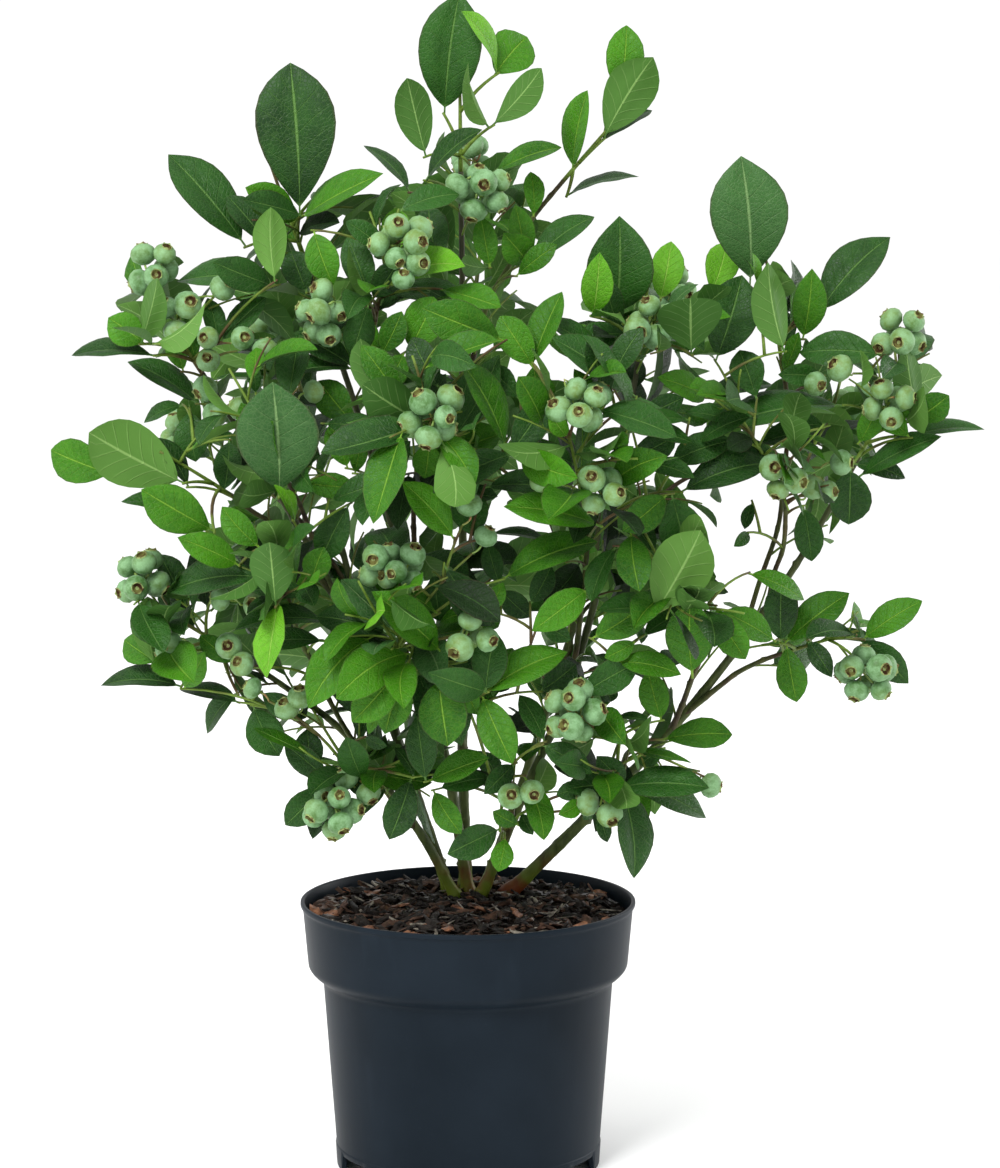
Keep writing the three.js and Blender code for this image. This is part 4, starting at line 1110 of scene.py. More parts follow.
# The crown's outline from the front, at its middle, as corners x, z. Only leading leaves cross it.
OUTLINE = np.array([
    (-12, 188), (-36, 192), (-58, 206), (-83, 190), (-108, 204), (-95, 238), (-135, 262), (-155, 258),
    (-150, 283), (-205, 300), (-198, 340), (-213, 352), (-190, 373), (-150, 363), (-173, 378), (-206, 399),
    (-190, 411), (-150, 402), (-150, 415), (-165, 422), (-178, 445), (-190, 452), (-170, 466), (-195, 488),
    (-212, 502), (-198, 548), (-172, 548), (-160, 534), (-125, 546), (-128, 586), (-95, 578), (-75, 589),
    (-48, 590), (-60, 608), (-30, 588), (-12, 616), (10, 617), (20, 600), (38, 611), (56, 604), (42, 590),
    (46, 566), (75, 566), (40, 530), (57, 523), (62, 500), (70, 530), (98, 528), (105, 535), (118, 518),
    (150, 538), (165, 512), (170, 540), (205, 541), (214, 520), (202, 500), (245, 487), (238, 512),
    (270, 508), (284, 450), (262, 425), (255, 402), (235, 408), (219, 377), (205, 362), (192, 380),
    (186, 348), (200, 340), (228, 336), (250, 320), (256, 297), (248, 284), (232, 288), (222, 302),
    (205, 302), (196, 282), (182, 296), (165, 318), (162, 304), (125, 296), (118, 262), (145, 228),
    (118, 213), (100, 172), (84, 195), (60, 204), (12, 190),
], float)

# Gaps that the light falls through from back to front: x, z and radius.
GAPS = np.array([
    (-75, 468, 9), (-40, 497, 8), (-147, 411, 8), (-76, 372, 8), (-75, 262, 8), (-42, 215, 8), (38, 520, 7),
    (170, 468, 8), (155, 392, 11), (152, 362, 11), (176, 368, 12), (62, 318, 7), (24, 312, 7), (92, 285, 8),
    (-160, 478, 7), (-158, 413, 8), (32, 316, 8), (96, 282, 8), (165, 493, 7), (55, 478, 6), (-43, 262, 5),
    (164, 344, 8), (-66, 462, 5), (116, 318, 5), (7, 217, 6), (149, 306, 5), (3, 601, 6), (-83, 285, 5),
    (218, 464, 5), (-144, 511, 5), (178, 490, 4), (86, 248, 5), (56, 507, 5), (118, 481, 5), (171, 408, 5),
    (174, 443, 5), (-82, 256, 4), (7, 260, 5), (189, 397, 4), (-155, 324, 4), (169, 318, 4), (43, 384, 4),
], float)

# Where the camera stands, and with it the eye that the outline and the gaps are seen from.
EYE = np.array([19.1, -2000.0, 586.1])
segment_starts = np.concatenate([points[:-1] for points, _ in limbs.values()])
segments = np.concatenate([np.diff(points, axis=0) for points, _ in limbs.values()])
segment_radii = np.concatenate([radii[:-1] for _, radii in limbs.values()])

# What has grown, with dots along the wood that twigs fork from and dots all over what leaves avoid.
twigs, leaves, clusters, wood = [], [], [], []
crowd = [np.zeros((0, 3))]


def in_space(own, points, margin=SPACE_MARGIN):
    """Whether points are in a spray's own space: nearer to it than to any other, with each distance
    weighed by the spray's reach, so that the spaces are convex cells with flat walls."""
    weights = ((points[:, None] - centres) ** 2).sum(axis=-1) - reaches ** 2
    walls = 2 * margin * np.linalg.norm(centres - centres[own], axis=1)
    inside = weights - weights[:, own, None] >= walls
    return bool(inside.all()) and points[:, 2].min() >= LOWEST_LEAF


def clear_of_limbs(points, gap):
    """Whether every point keeps a gap from the skin of every limb."""
    offsets = points[:, None] - segment_starts
    share = np.clip((offsets * segments).sum(axis=-1) / (segments ** 2).sum(axis=-1), 0, 1)
    distance = np.linalg.norm(offsets - share[..., None] * segments, axis=-1)
    return bool((distance >= segment_radii + gap).all())


def shows_right(points):
    """Whether all of the points, seen from the eye in front, are inside the outline and in no gap."""
    seen = (EYE + (points - EYE) * (-EYE[1] / (points[:, 1:2] - EYE[1])))[:, [0, 2]]
    x, z = seen[:, 0, None], seen[:, 1, None]
    start, end = OUTLINE, np.roll(OUTLINE, -1, axis=0)
    spans = (start[:, 1] > z) != (end[:, 1] > z)
    rise = np.where(end[:, 1] == start[:, 1], 1, end[:, 1] - start[:, 1])
    crossings = start[:, 0] + (z - start[:, 1]) * (end[:, 0] - start[:, 0]) / rise
    inside = ((spans & (x < crossings)).sum(axis=1) % 2 == 1).all()
    return inside and (np.hypot(x - GAPS[:, 0], z - GAPS[:, 1]) > GAPS[:, 2]).all()


def spun(vector, axis, angle):
    """A vector turned about an axis."""
    turned_part = vector * cos(angle) + np.cross(axis, vector) * sin(angle)
    return turned_part + axis * (axis @ vector) * (1 - cos(angle))


def on_ball(i, height):
    """Point i of a spiral round a ball of radius 1, at a height from -1 to 1."""
    ring = sqrt(1 - height * height)
    return np.array([ring * cos(i * GOLDEN_ANGLE), ring * sin(i * GOLDEN_ANGLE), height])


def settled(outward, radii):
    """Middles of a cluster's berries, from the twig's end: they start on a ball round it, open to where
    the twig comes from, then are pushed apart where two overlap and drawn in again, many times."""
    count = len(radii)
    places = np.array([on_ball(i, 1 - 1.6 * (i + 0.5) / count) for i in range(count)])
    turn = np.array(Vector((0, 0, 1)).rotation_difference(Vector(outward)).to_matrix())
    places = places @ turn.T * (4.6 * sqrt(count) + 1) - 2.5 * UP
    for _ in range(SETTLING_STEPS):
        apart = places[:, None] - places
        distance = np.linalg.norm(apart, axis=-1) + np.eye(count) * 1000
        overlap = np.maximum(0, (radii[:, None] + radii) * 1.01 - distance)
        push = apart / distance[..., None] * overlap[..., None] * 0.5
        places = places * 0.985 + push.sum(axis=1) + 0.02 * outward
    return places


def blade(base, tip, breadth, face, rows, columns):
    """Points all over a leaf's blade: rows along its chord, columns across it, arched to its face."""
    u = np.linspace(0, 1, rows)[:, None, None]
    v = np.linspace(-1, 1, columns)[None, :, None]
    axis = tip - base
    length = np.linalg.norm(axis)
    normal = unit(face - axis * (face @ axis) / length ** 2)
    half = 0.5 * breadth * np.minimum(1, np.minimum(u, 1 - u) / 0.3)
    arch = length * LEAF_ARCH * 4 * u * (1 - u)
    return base + axis * u + np.cross(axis / length, normal) * v * half + normal * arch


def bowed(start, end, heading):
    """A twig's curve: a parabola from start to end that sets off nearer to its parent's heading."""
    chord = end - start
    sideways = heading - chord * (heading @ chord) / (chord @ chord)
    guide = (start + end) / 2 + TWIG_BOW * np.linalg.norm(chord) * sideways
    return parabola(start, guide, end, TWIG_ROWS)


BALL = np.array([on_ball(i, 1 - 2 * (i + 0.5) / BALL_POINTS) for i in range(BALL_POINTS)])


def new_twig(own, points, radii, ended, parent=None):
    """Adds a twig. One that is ended already carries a shoot's leaves or fruit at its end."""
    twigs.append({
        "own": own, "points": points, "radii": radii, "ended": ended, "bears": ended, "parent": parent,
    })


def dotted(start, end):
    """Points on a straight line, one about every few millimetres."""
    return np.linspace(start, end, ceil(np.linalg.norm(end - start) / DOT_SPACING) + 1)


def try_twig(own, start, end, way, kind, bare=0, parent=None):
    """Adds a twig where all of it, but for a bare length at its foot, is in the space and clear of
    limbs. One without fruit or a leading shoot has to end where it shows right, too."""
    dots = dotted(start, end)
    outer = dots[np.linalg.norm(dots - start, axis=1) >= bare]
    if not in_space(own, outer, TWIG_MARGIN) or not clear_of_limbs(outer, TWIG_GAP):
        return False
    ended = kind in ("fruit", "shoot")
    if not ended and not shows_right(dots[-1:]):
        return False
    new_twig(own, bowed(start, end, way), TWIG_RADII[kind], ended, parent)
    crowd.append(dots)
    return True


def try_leaf(own, leaf, tone, gap):
    """Adds a leaf where its whole blade is clear of limbs and, but for its foot, of all that grew before
    it. Unless it is a leading leaf, which has no spray of its own, it also keeps to its spray's space
    and to where it shows right. A pale one has its underside to the face."""
    leading = own is None
    if tone == "pale":
        leaf = (*leaf[:3], -leaf[3])
    points = blade(*leaf, *(LEADING_GRID if leading else LEAF_GRID))
    outer = points[2:].reshape(-1, 3)
    everything = np.concatenate(crowd)
    crowd[:] = [everything]
    close = np.abs(everything - outer.mean(axis=0)) < np.ptp(outer, axis=0) / 2 + NEARBY
    near = everything[close.all(axis=1)]
    if len(near) and ((outer[:, None] - near) ** 2).sum(axis=-1).min() < gap ** 2:
        return False
    points = points.reshape(-1, 3)
    if not clear_of_limbs(points, LIMB_GAP) or points[:, 2].min() < LOWEST_LEAF:
        return False
    if not leading and not (in_space(own, points) and shows_right(points)):
        return False
    leaves.append((*leaf, tone, leading))
    crowd.append(outer)
    return True


def sprigs(own, points, aside, draw, spacing, bare, parent=None):
    """Short side twigs along a run of points, in a spiral, each as long as it has room for."""
    length = np.linalg.norm(np.diff(points, axis=0), axis=1).sum()
    turn = 2 * pi * next(draw)
    made = []
    for i in range(1, int(length / spacing) + 1):
        start, way, _ = along(points, (i - 0.5) * spacing / length)
        side = spun(unit(np.cross(aside, way)), way, turn + i * GOLDEN_ANGLE)
        tilt = radians(SPRIG_TILT)
        lead = (way * cos(tilt) + side * sin(tilt) + 0.15 * UP) * (SPRIG_LENGTH + SPRIG_GROWTH * next(draw))
        if start[2] < LOWEST_SPRIG:
            continue
        space = own
        if own is None:
            space = int(np.argmin(((start + lead - centres) ** 2).sum(axis=1) - reaches ** 2))
        for scale in TWIG_TRIES:
            if try_twig(space, start, start + lead * scale, way, "sprig", bare, parent):
                made.append(twigs[-1])
                break
    return made


def leafy(twig, aside, shares, draw):
    """Leaves in a spiral along a twig, from its end back: the first at the very end, unless it is taken."""
    points, own = twig["points"], twig["own"]
    length = np.linalg.norm(points[-1] - points[0])
    turn = 2 * pi * next(draw)
    for i in range(int((length - BARE_LENGTH) / LEAF_SPACING) + 1):
        base, way, _ = along(points, 1 - (i * LEAF_SPACING + LEAF_SINK) / length)
        size = LEAF_LENGTH * (SMALLEST_LEAF + LEAF_GROWTH * next(draw))
        stray = np.array([next(draw) - 0.5 for _ in range(3)])
        face = unit(OUTWARD * unit(base * [1, 1, 0]) + UPWARD * UP + ASTRAY * stray)
        pick = 100 * next(draw)
        # The fourth tone is the bluish one that paints a sheen of the sky on the leaf.
        dealt = zip(("old", "mid", "new", "painted_sheen"), np.cumsum(shares))
        # A leaf past the shares takes the darkest tone, painted shade.
        tone = next((name for name, most in dealt if pick < most), "painted_shade")
        if next(draw) < UNDERSIDES_SHOWN:
            tone = "pale"
        if i == 0 and twig["ended"]:
            continue
        side = spun(unit(np.cross(aside, way)), way, turn + i * GOLDEN_ANGLE)
        for swing, scale in LEAF_TRIES:
            spread = spun(side, way, swing) * (LEAF_SPREAD if i else END_LEAF_SPREAD)
            lead = unit(way + spread - LEAF_DROOP * UP)
            tip = base + lead * scale * size
            outwards = unit(centres[own] - HEART)
            limit = LEAF_REACH - LEAF_LEAN * unit(tip - centres[own]) @ outwards
            if np.linalg.norm(tip - centres[own]) > limit * reaches[own]:
                continue
            if try_leaf(own, (base, tip, LEAF_BREADTH * scale * size, face), tone, LEAF_GAP):
                twig["bears"] = True
                break


def add_cluster(knot, outward, places, radii):
    """Adds a cluster of berries, and dots all over them to what others keep clear of."""
    clusters.append((knot, outward, places, radii))
    crowd.append((places[:, None] + radii[:, None, None] * BALL).reshape(-1, 3))


def berry_sizes(count, draw):
    """A radius for each berry of a cluster."""
    return BERRY_RADIUS * np.array([SMALLEST_BERRY + BERRY_GROWTH * next(draw) for _ in range(count)])


def branch_out(name):
    """A spray's stem, its clusters of fruit, its leading shoots and leaves, and its other twigs."""
    own = spray_names.index(name)
    centre, reach = centres[own], reaches[own]
    draw = series(100 + own)
    limb_points, limb_radii = limbs[name]
    heading = along(limb_points, 1)[1]
    foot = limb_points[-1] + CLEARANCE * heading
    crest = centre + CREST_SHARE * reach * heading
    while not in_space(own, crest[None], TWIG_MARGIN):
        crest = crest + 0.1 * (foot - crest)
    stem_length = np.linalg.norm(crest - foot)
    aside = unit(np.cross([1, 0.2, 0.1], heading))
    wood.append(dotted(foot, crest))
    crowd.append(wood[-1])
    first = len(twigs)
    new_twig(own, bowed(foot - 2 * heading, crest, heading), (limb_radii[-1], STEM_END_RADIUS), False)
    twigs[first]["bears"] = True

    def fork_for(end):
        """Where the twig to a point leaves the stem: a little lower than the point is."""
        height = (end - foot) @ heading / stem_length
        return foot + (crest - foot) * min(max(height - FORK_DROP, 0.15), 0.95)

    for *middle, berries in CLUSTERS.get(name, []):
        middle = np.array(middle, float)
        fork = fork_for(middle)
        if try_twig(own, fork, middle, heading, "fruit"):
            outward = unit(middle - fork)
            radii = berry_sizes(berries, draw)
            add_cluster(middle, outward, middle + settled(outward, radii), radii)
    leaders = []
    for end, *ends in SHOOTS.get(name, []):
        end = np.array(end, float)
        if try_twig(own, fork_for(end), end, heading, "shoot"):
            leaders.append((twigs[-1]["points"], ends))
    count = floor(reach / TWIG_SPACING + 0.5)
    for k in range(count):
        share = 0.1 + 0.85 * (k + 0.5) / count
        fork = foot + (crest - foot) * share
        tilt = radians(TWIG_TILT - TWIG_LIFT * share)
        side = spun(aside, heading, k * GOLDEN_ANGLE + 1)
        lead = (heading * cos(tilt) + side * sin(tilt)) * reach * (TWIG_LENGTH + TWIG_GROWTH * next(draw))
        for scale in TWIG_TRIES:
            if try_twig(own, fork, fork + lead * scale, heading, "side"):
                break
    for points, ends in leaders:
        leading_leaves(points, ends, draw)
    return own, twigs[first:], aside, draw


def leading_leaves(points, ends, draw):
    """The leaves at the end of a shoot. Each turns about its midrib, the face that shows to the sky, until
    the front sees about the breadth it shows there, and its tip takes the first of a few distances from
    the eye where the blade has room."""
    shoot_length = np.linalg.norm(points[-1] - points[0])
    for i, (x, y, z, seen, tone) in enumerate(ends):
        base = along(points, 1 - (LEAF_SINK + LEADING_SPACING * i) / shoot_length)[0]
        end = np.array([x, y, z], float)
        breadth = max(seen, LEADING_BREADTH * np.linalg.norm(end - base))
        turn = acos(min(1, seen / breadth)) * (0.94 + 0.12 * next(draw))
        for gap, nearer in LEADING_TRIES:
            tip = end + nearer * unit(EYE - end)
            faces = [spun(FRONT, unit(tip - base), way * turn) for way in (1, -1)]
            highest = max(faces, key=lambda face: face[2])
            if try_leaf(None, (base, tip, breadth, highest), tone, gap):
                break


def front_twig(end, short=0):
    """A twig to a point, or short of it, from the nearest wood that is lower by a quarter of the way or
    more. The middle of it then counts as wood too, so that later twigs fork from it."""
    dots = np.concatenate(wood)
    steps = end - dots
    distance = np.linalg.norm(steps, axis=1)
    nearest = np.argmin(distance + 100 * (steps[:, 2] < FRONT_RISE * distance))
    points = bowed(dots[nearest], end - short * unit(steps[nearest]), UP)
    wood.append(points[2:5])
    new_twig(None, points, TWIG_RADII["front"], True)
    crowd.append(np.linspace(points[0], points[-1], ceil(distance[nearest] / DOT_SPACING) + 1))
    return points


def front_fruit(end, count, draw):
    """A few berries about a point, on a twig of their own."""
    points = front_twig(end, FRUIT_BACK)
    outward = unit(points[-1] - points[0])
    radii = berry_sizes(count, draw)
    places = settled(outward, radii)
    add_cluster(points[-1] + HUB_BACK * outward, outward, places - places.mean(axis=0) + end, radii)


def twig_look(start):
    """Thin skin, olive to yellow-green, with a blush of brown on some twigs."""
    place = start.place()
    patch = place.noise(34, 2).span(0.47, 0.64)
    streak = place.noise(260, 3)
    green = streak.blend(rgb(66, 92, 26), rgb(120, 146, 58))
    brown = streak.blend(rgb(54, 44, 28), rgb(98, 80, 50))
    return {
        "Base Color": patch.blend(green, brown),
        "Roughness": 0.55,
        "Specular IOR Level": 0.2,
        "Normal": start.bump(streak, 0.0003, 0.5),
    }


def tubes(runs, radii, sides):
    """Round tubes on many runs of points, each with a radius that goes evenly from its first to its
    second."""
    t = np.linspace(0, 1, runs.shape[1])
    radius = (radii[:, :1] * (1 - t) + radii[:, 1:] * t)[..., None, None]
    spokes = evenly_round(*round_frames(runs), sides)
    return capped(runs[:, :, None] + radius * spokes, runs[:, 0], runs[:, -1])


# What shows most grows first and the rest fills in round it: stems, fruit and leading shoots, then the
# front's own twigs, then sprigs and leaves on the sprays' twigs, and last those on the limbs.
grown = [branch_out(name) for name in spray_names]
wood += [smooth_run(*limb, LIMB_DOTS)[0][4:] for limb in limbs.values()]
draw = series(300)
for *end, count in FRONT_FRUIT:
    front_fruit(sighted(*end), count, draw)
for end, *ends in FRONT_SHOOTS:
    leading_leaves(front_twig(sighted(*end)), [sighted_leaf(*leaf) for leaf in ends], draw)
for own, main_twigs, aside, draw in grown:
    first = len(twigs)
    for twig in main_twigs:
        sprigs(own, twig["points"], aside, draw, SPRIG_SPACING, 0, twig)
    for twig in [*twigs[first:], *main_twigs[::-1]]:
        leafy(twig, aside, TONE_SHARES.get(spray_names[own], OTHER_SHARES), draw)
aside = np.array([0.6, 0.8, 0.0])
for number, (points, _) in enumerate(limbs.values()):
    draw = series(200 + number)
    for twig in sprigs(None, points, aside, draw, LIMB_SPRIG_SPACING, LIMB_SPRIG_BARE):
        leafy(twig, aside, INNER_SHARES, draw)

# A twig that bears nothing, and has no twig that does, is left out.
for twig in twigs[::-1]:
    if twig["bears"] and twig["parent"] is not None:
        twig["parent"]["bears"] = True
twigs = [twig for twig in twigs if twig["bears"]]
runs = np.array([twig["points"] for twig in twigs])
radii = np.array([twig["radii"] for twig in twigs])
young_skin = finish("young_skin", twig_look)
twig_piece = piece("twigs", *tubes(runs, radii, TWIG_SIDES), [young_skin])
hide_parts(*["spray_" + name for name in spray_names])


# ---- Leaves ---------------------------------------------------------------------------------------
# Oval leaves with a pointed tip on a short stalk: thin blades folded at the midrib, arched along it and a
# little wavy at the edge. Old ones are dark and leathery, mid and new ones thinner and yellower, and
# undersides pale. A bluish tone paints a sheen of the sky on some leaves, and the darkest tone paints the
# shade deep in the crown.
STALK = 0.07
STALK_HALF = 0.55
LARGE_LEAF = 42
LEADING_WILDNESS = 0.35
LEAF_CREASE = 70

# A blade's rows from stalk to tip, and the points across its upper face and its underside.
LARGE_LAYOUT = ((0, 0.03, 0.07, 0.1, 0.15, 0.22, 0.3, 0.4, 0.5, 0.6, 0.7, 0.8, 0.88, 0.95), 7, 5)
PLAIN_LAYOUT = ((0, 0.07, 0.11, 0.18, 0.29, 0.43, 0.58, 0.73, 0.86, 0.95), 5, 1)

# The dark and the light shade of each tone, the shade of its veins, and its roughness.
TONES = {
    "old": ((13, 43, 10), (37, 83, 20), (94, 132, 64), 0.38),
    "mid": ((24, 72, 4), (60, 120, 10), (120, 162, 54), 0.40),
    "new": ((56, 118, 8), (96, 158, 28), (150, 190, 84), 0.46),
    # A bluish-grey tone: a painted sheen of the sky on the leaf's face.
    "painted_sheen": ((30, 65, 25), (53, 94, 42), (122, 154, 98), 0.38),
    # The darkest tone: painted shade for leaves deep in the crown.
    "painted_shade": ((8, 26, 4), (21, 52, 9), (60, 92, 44), 0.50),
}


def blades(leaves, rows, top, under, seed):
    """Closed blades. Over the chord from stalk to tip, u from 0 to 1: half the breadth goes as w to the
    power a times 1 - w to the power b, drawn in at the tip, with w from 0 at the stalk's end to 1 there.
    Over the blade, v from -1 to 1: each half rises from the midrib by its fold, and bulges as v times
    1 - v. The whole arches up, and may bend to a side, as u times 1 - u, and twists evenly along u.
    Each ring crosses the upper face from v = -1 to 1 and comes back along the underside, whose quads
    start a corner later, so that both faces fold along the same diagonals."""
    rng = np.random.default_rng(seed)
    count = len(leaves)
    base, tip, breadth, face = (np.array([leaf[i] for leaf in leaves]) for i in range(4))
    wildness = np.array([leaf[4] for leaf in leaves])[:, None, None]
    length = np.linalg.norm(tip - base, axis=1)[:, None, None]
    along_it = unit(tip - base)
    normal = unit(face - along_it * (face * along_it).sum(axis=1, keepdims=True))
    across = np.cross(along_it, normal)

    def vary(low, high):
        """A number for each leaf."""
        return rng.uniform(low, high, (count, 1, 1))

    u = np.asarray(rows)[None, :, None]
    v = np.concatenate([np.linspace(-1, 1, top), np.linspace(1, -1, under + 2)[1:-1]])[None, None, :]
    upper = np.arange(top + under) < top
    a, b = vary(0.72, 1.0), vary(0.62, 0.86)
    w = np.clip((u - STALK) / (1 - STALK), 0, 1)
    peak = (a / (a + b)) ** a * (b / (a + b)) ** b
    point = 1 - 0.5 * w ** 12
    half = 0.5 * breadth[:, None, None] * w ** a * (1 - w) ** b / peak * point + STALK_HALF * (1 - w)
    fold = vary(0.12, 0.20 + 0.30 * wildness)
    bulge = vary(0.06, 0.15)
    ripple = 2 * pi * vary(1.2, 2.2) * u + vary(0, 6.28) + np.sign(v) * vary(0.4, 2)
    wave = vary(0, 0.14) * wildness * np.sin(ripple)
    blade_part = np.minimum(1, w / 0.12)
    rise = half * (fold * np.abs(v) + 4 * bulge * np.abs(v) * (1 - np.abs(v)) + wave * v ** 2) * blade_part
    skin = 0.28 + 0.5 * (1 - np.abs(v)) * (1 - u) + 0.4 * (1 - blade_part)
    arch = length * (LEAF_ARCH + vary(-0.05, 0.05) * wildness) * 4 * u * (1 - u)
    rise = rise + arch - np.where(upper, 0, skin)
    bend = length * vary(-0.09, 0.09) * wildness * 4 * u * (1 - u)
    twist = vary(-0.5, 0.5) * wildness * (u - 0.4)
    side = half * v
    x = (side * np.cos(twist) - rise * np.sin(twist) * 0.3 + bend)[..., None]
    z = (side * np.sin(twist) + rise)[..., None]
    rings = base[:, None, None] + (u * length)[..., None] * along_it[:, None, None]
    rings = rings + x * across[:, None, None] + z * normal[:, None, None]
    points, (quads, fans) = capped(rings, base, tip)
    sides = top + under
    places = np.concatenate([
        np.stack(np.broadcast_arrays(v[0], u[0]), axis=-1).reshape(-1, 2), [[0, 0], [0, 1]]
    ])
    uv = np.tile(places * [0.5, 1] + [0.5, 0], (count, 1))
    below = np.tile(np.arange(sides) >= top - 1, count * (len(rows) - 1))
    quads[below] = np.roll(quads[below], -1, axis=1)
    skins = np.concatenate([below, np.tile(below[:sides], count * 2)])
    tint = np.repeat(rng.uniform(0, 1, count), len(points) // count)
    return points, [quads, fans], uv, skins, tint


def leaf_lines(start, midrib, vein, margin):
    """How far along and across a leaf's surface is, and masks for its midrib and its side veins, which
    sweep to the tip and fade before the margin. Each mask goes from 0 to 1 between two values."""
    on_leaf = start.node("ShaderNodeTexCoord", out="UV")
    across = on_leaf.node("ShaderNodeSeparateXYZ", {}, {"Vector": on_leaf}, out="X")
    u = on_leaf.node("ShaderNodeSeparateXYZ", {}, {"Vector": on_leaf}, out="Y")
    v = abs(across * 2 - 1)
    sweep = (u - v * 0.26 + v * v * 0.07) * 7.5
    veins = start.maths("PINGPONG", sweep, 0.5).span(*vein) * v.span(*margin)
    return u, v, v.span(*midrib), veins


def leaf_look(dark, light, rib, roughness):
    """The upper face: a pale midrib, fine side veins that sweep to the tip, a fine net between them,
    and a thin dark edge. Each leaf has a shade of its own."""

    def look(start):
        place = start.place()
        u, v, midrib, vein = leaf_lines(start, (0.052, 0.018), (0.06, 0.012), (0.95, 0.6))
        shade = start.node("ShaderNodeAttribute", {"attribute_name": "tint"}, out="Fac")
        cloud = place.noise(70, 3)
        to_edge = {"feature": "DISTANCE_TO_EDGE"}
        net = place.node("ShaderNodeTexVoronoi", to_edge, {"Vector": place, "Scale": 460}).span(0.16, 0.02)
        tone = shade * 0.6 + cloud.span(0.3, 0.7) * 0.4
        body = tone.blend(rgb(*dark), rgb(*light))
        veined = (vein * 0.14 + net * 0.10).blend(body, rgb(*rib))
        ribbed = (midrib * 0.62).blend(veined, rgb(*rib))
        edged = (v.span(0.93, 0.99) * 0.45).blend(ribbed, rgb(58, 44, 34))
        stalk = u.span(0.10, 0.06).blend(edged, rgb(*rib))
        return {
            "Base Color": stalk,
            "Roughness": roughness + cloud * 0.14,
            "Specular IOR Level": 0.18,
            "Normal": start.bump(0 - net * 0.3 - vein * 0.6 - midrib * 0.8, 0.0007, 0.8),
        }

    return look


def underside_look(start):
    """The underside: pale grey-green and matt, with its midrib and veins standing out."""
    _, _, midrib, vein = leaf_lines(start, (0.055, 0.02), (0.07, 0.012), (0.98, 0.6))
    shade = start.node("ShaderNodeAttribute", {"attribute_name": "tint"}, out="Fac")
    body = shade.blend(rgb(54, 94, 34), rgb(86, 128, 52))
    lined = (vein * 0.25 + midrib * 0.6).blend(body, rgb(142, 178, 102))
    return {
        "Base Color": lined,
        "Roughness": 0.62,
        "Specular IOR Level": 0.2,
        "Normal": start.bump(vein + midrib, 0.0005, 0.6),
    }


underside = finish("leaf_underside", underside_look)
uppers = {tone: finish(tone + "_leaf", leaf_look(*shades)) for tone, shades in TONES.items()}
leaf_groups = [(tone, leading) for tone in TONES for leading in (True, False)]
for number, (tone, leading) in enumerate(leaf_groups):
    chosen = []
    for base, tip, breadth, face, leaf_tone, leads in leaves:
        large = leads and np.linalg.norm(tip - base) > LARGE_LEAF
        if large == leading and (leaf_tone == tone or leaf_tone == "pale" and tone == "mid"):
            chosen.append((base, tip, breadth, face, LEADING_WILDNESS if leads else 1))
    if not chosen:
        continue
    layout = LARGE_LAYOUT if leading else PLAIN_LAYOUT
    points, faces, uv, skins, tint = blades(chosen, *layout, 70 + number)
    name = ("leading_" if leading else "") + "leaves_" + tone
    made = piece(name, points, faces, [uppers[tone], underside], crease=LEAF_CREASE)
    made.data.polygons.foreach_set("material_index", skins.astype(np.int32))
    corners = np.concatenate([kind.ravel() for kind in faces])
    made.data.uv_layers.new(name="UVMap").data.foreach_set("uv", uv[corners].astype(np.float32).ravel())
    made.data.attributes.new("tint", "FLOAT", "POINT").data.foreach_set("value", tint.astype(np.float32))


# ---- Fruit ----------------------------------------------------------------------------------------
# Unripe berries in clusters at the ends of twigs: green under a white bloom, a little flattened, each
# on a thin stalk, with a crown of five dry lobes round a pit at its free end.
CROWN_LOBES = 5
BERRY_SIDES = 15
BERRY_PROFILE = np.array([
    (0.50, -0.74), (0.88, -0.38), (1.0, 0.06), (0.88, 0.46), (0.62, 0.74), (0.46, 0.82),
    (0.43, 0.95), (0.37, 0.88), (0.32, 0.72), (0.14, 0.68),
])
CROWN_ROW = 6
PIT_ROW = 7
STALK_END = 0.84
PIT_FLOOR = 0.62
BERRY_CREASE = 60
STALK_ROWS = 5
STALK_SIDES = 5
STALK_RADII = (0.55, 0.715)

rng = np.random.default_rng(91)
berry_axes, stalk_runs = [], []
for middle, outward, places, radii in clusters:
    hub = middle - HUB_BACK * outward
    axes = unit(unit(places - hub) + 0.35 * rng.normal(size=places.shape) - 0.15 * UP)
    for place, axis, radius in zip(places, axes, radii):
        tail = place - STALK_END * radius * axis
        guide = tail - 0.5 * np.linalg.norm(tail - hub) * axis
        stalk_runs.append(parabola(hub, guide, tail, STALK_ROWS))
    berry_axes.append(axes)
berry_axes = np.concatenate(berry_axes)
berry_places = np.concatenate([cluster[2] for cluster in clusters])
berry_radii = np.concatenate([cluster[3] for cluster in clusters])


def berries(places, axes, radii, rng):
    """Bodies of revolution about the berries' own axes, whose crown row rises and falls in lobes."""
    count = len(places)
    side = unit(np.cross(axes, rng.normal(size=(count, 3))))
    over = np.cross(axes, side)
    angle = np.arange(BERRY_SIDES) * 2 * pi / BERRY_SIDES
    radius, height = BERRY_PROFILE[:, 0, None] + 0 * angle, BERRY_PROFILE[:, 1, None] + 0 * angle
    lobe = np.cos(CROWN_LOBES * angle)
    height[CROWN_ROW] += 0.06 * lobe
    radius[CROWN_ROW] += 0.05 * lobe
    squat = rng.uniform(0.86, 0.98, count)[:, None, None, None]
    spokes = evenly_round(side[:, None], over[:, None], BERRY_SIDES)
    rings = radius[None, ..., None] * spokes + squat * height[None, ..., None] * axes[:, None, None]
    size = radii[:, None, None, None]
    ends = [places + radii[:, None] * squat[:, 0, 0] * end * axes for end in (-STALK_END, PIT_FLOOR)]
    return capped(places[:, None, None] + size * rings, *ends)


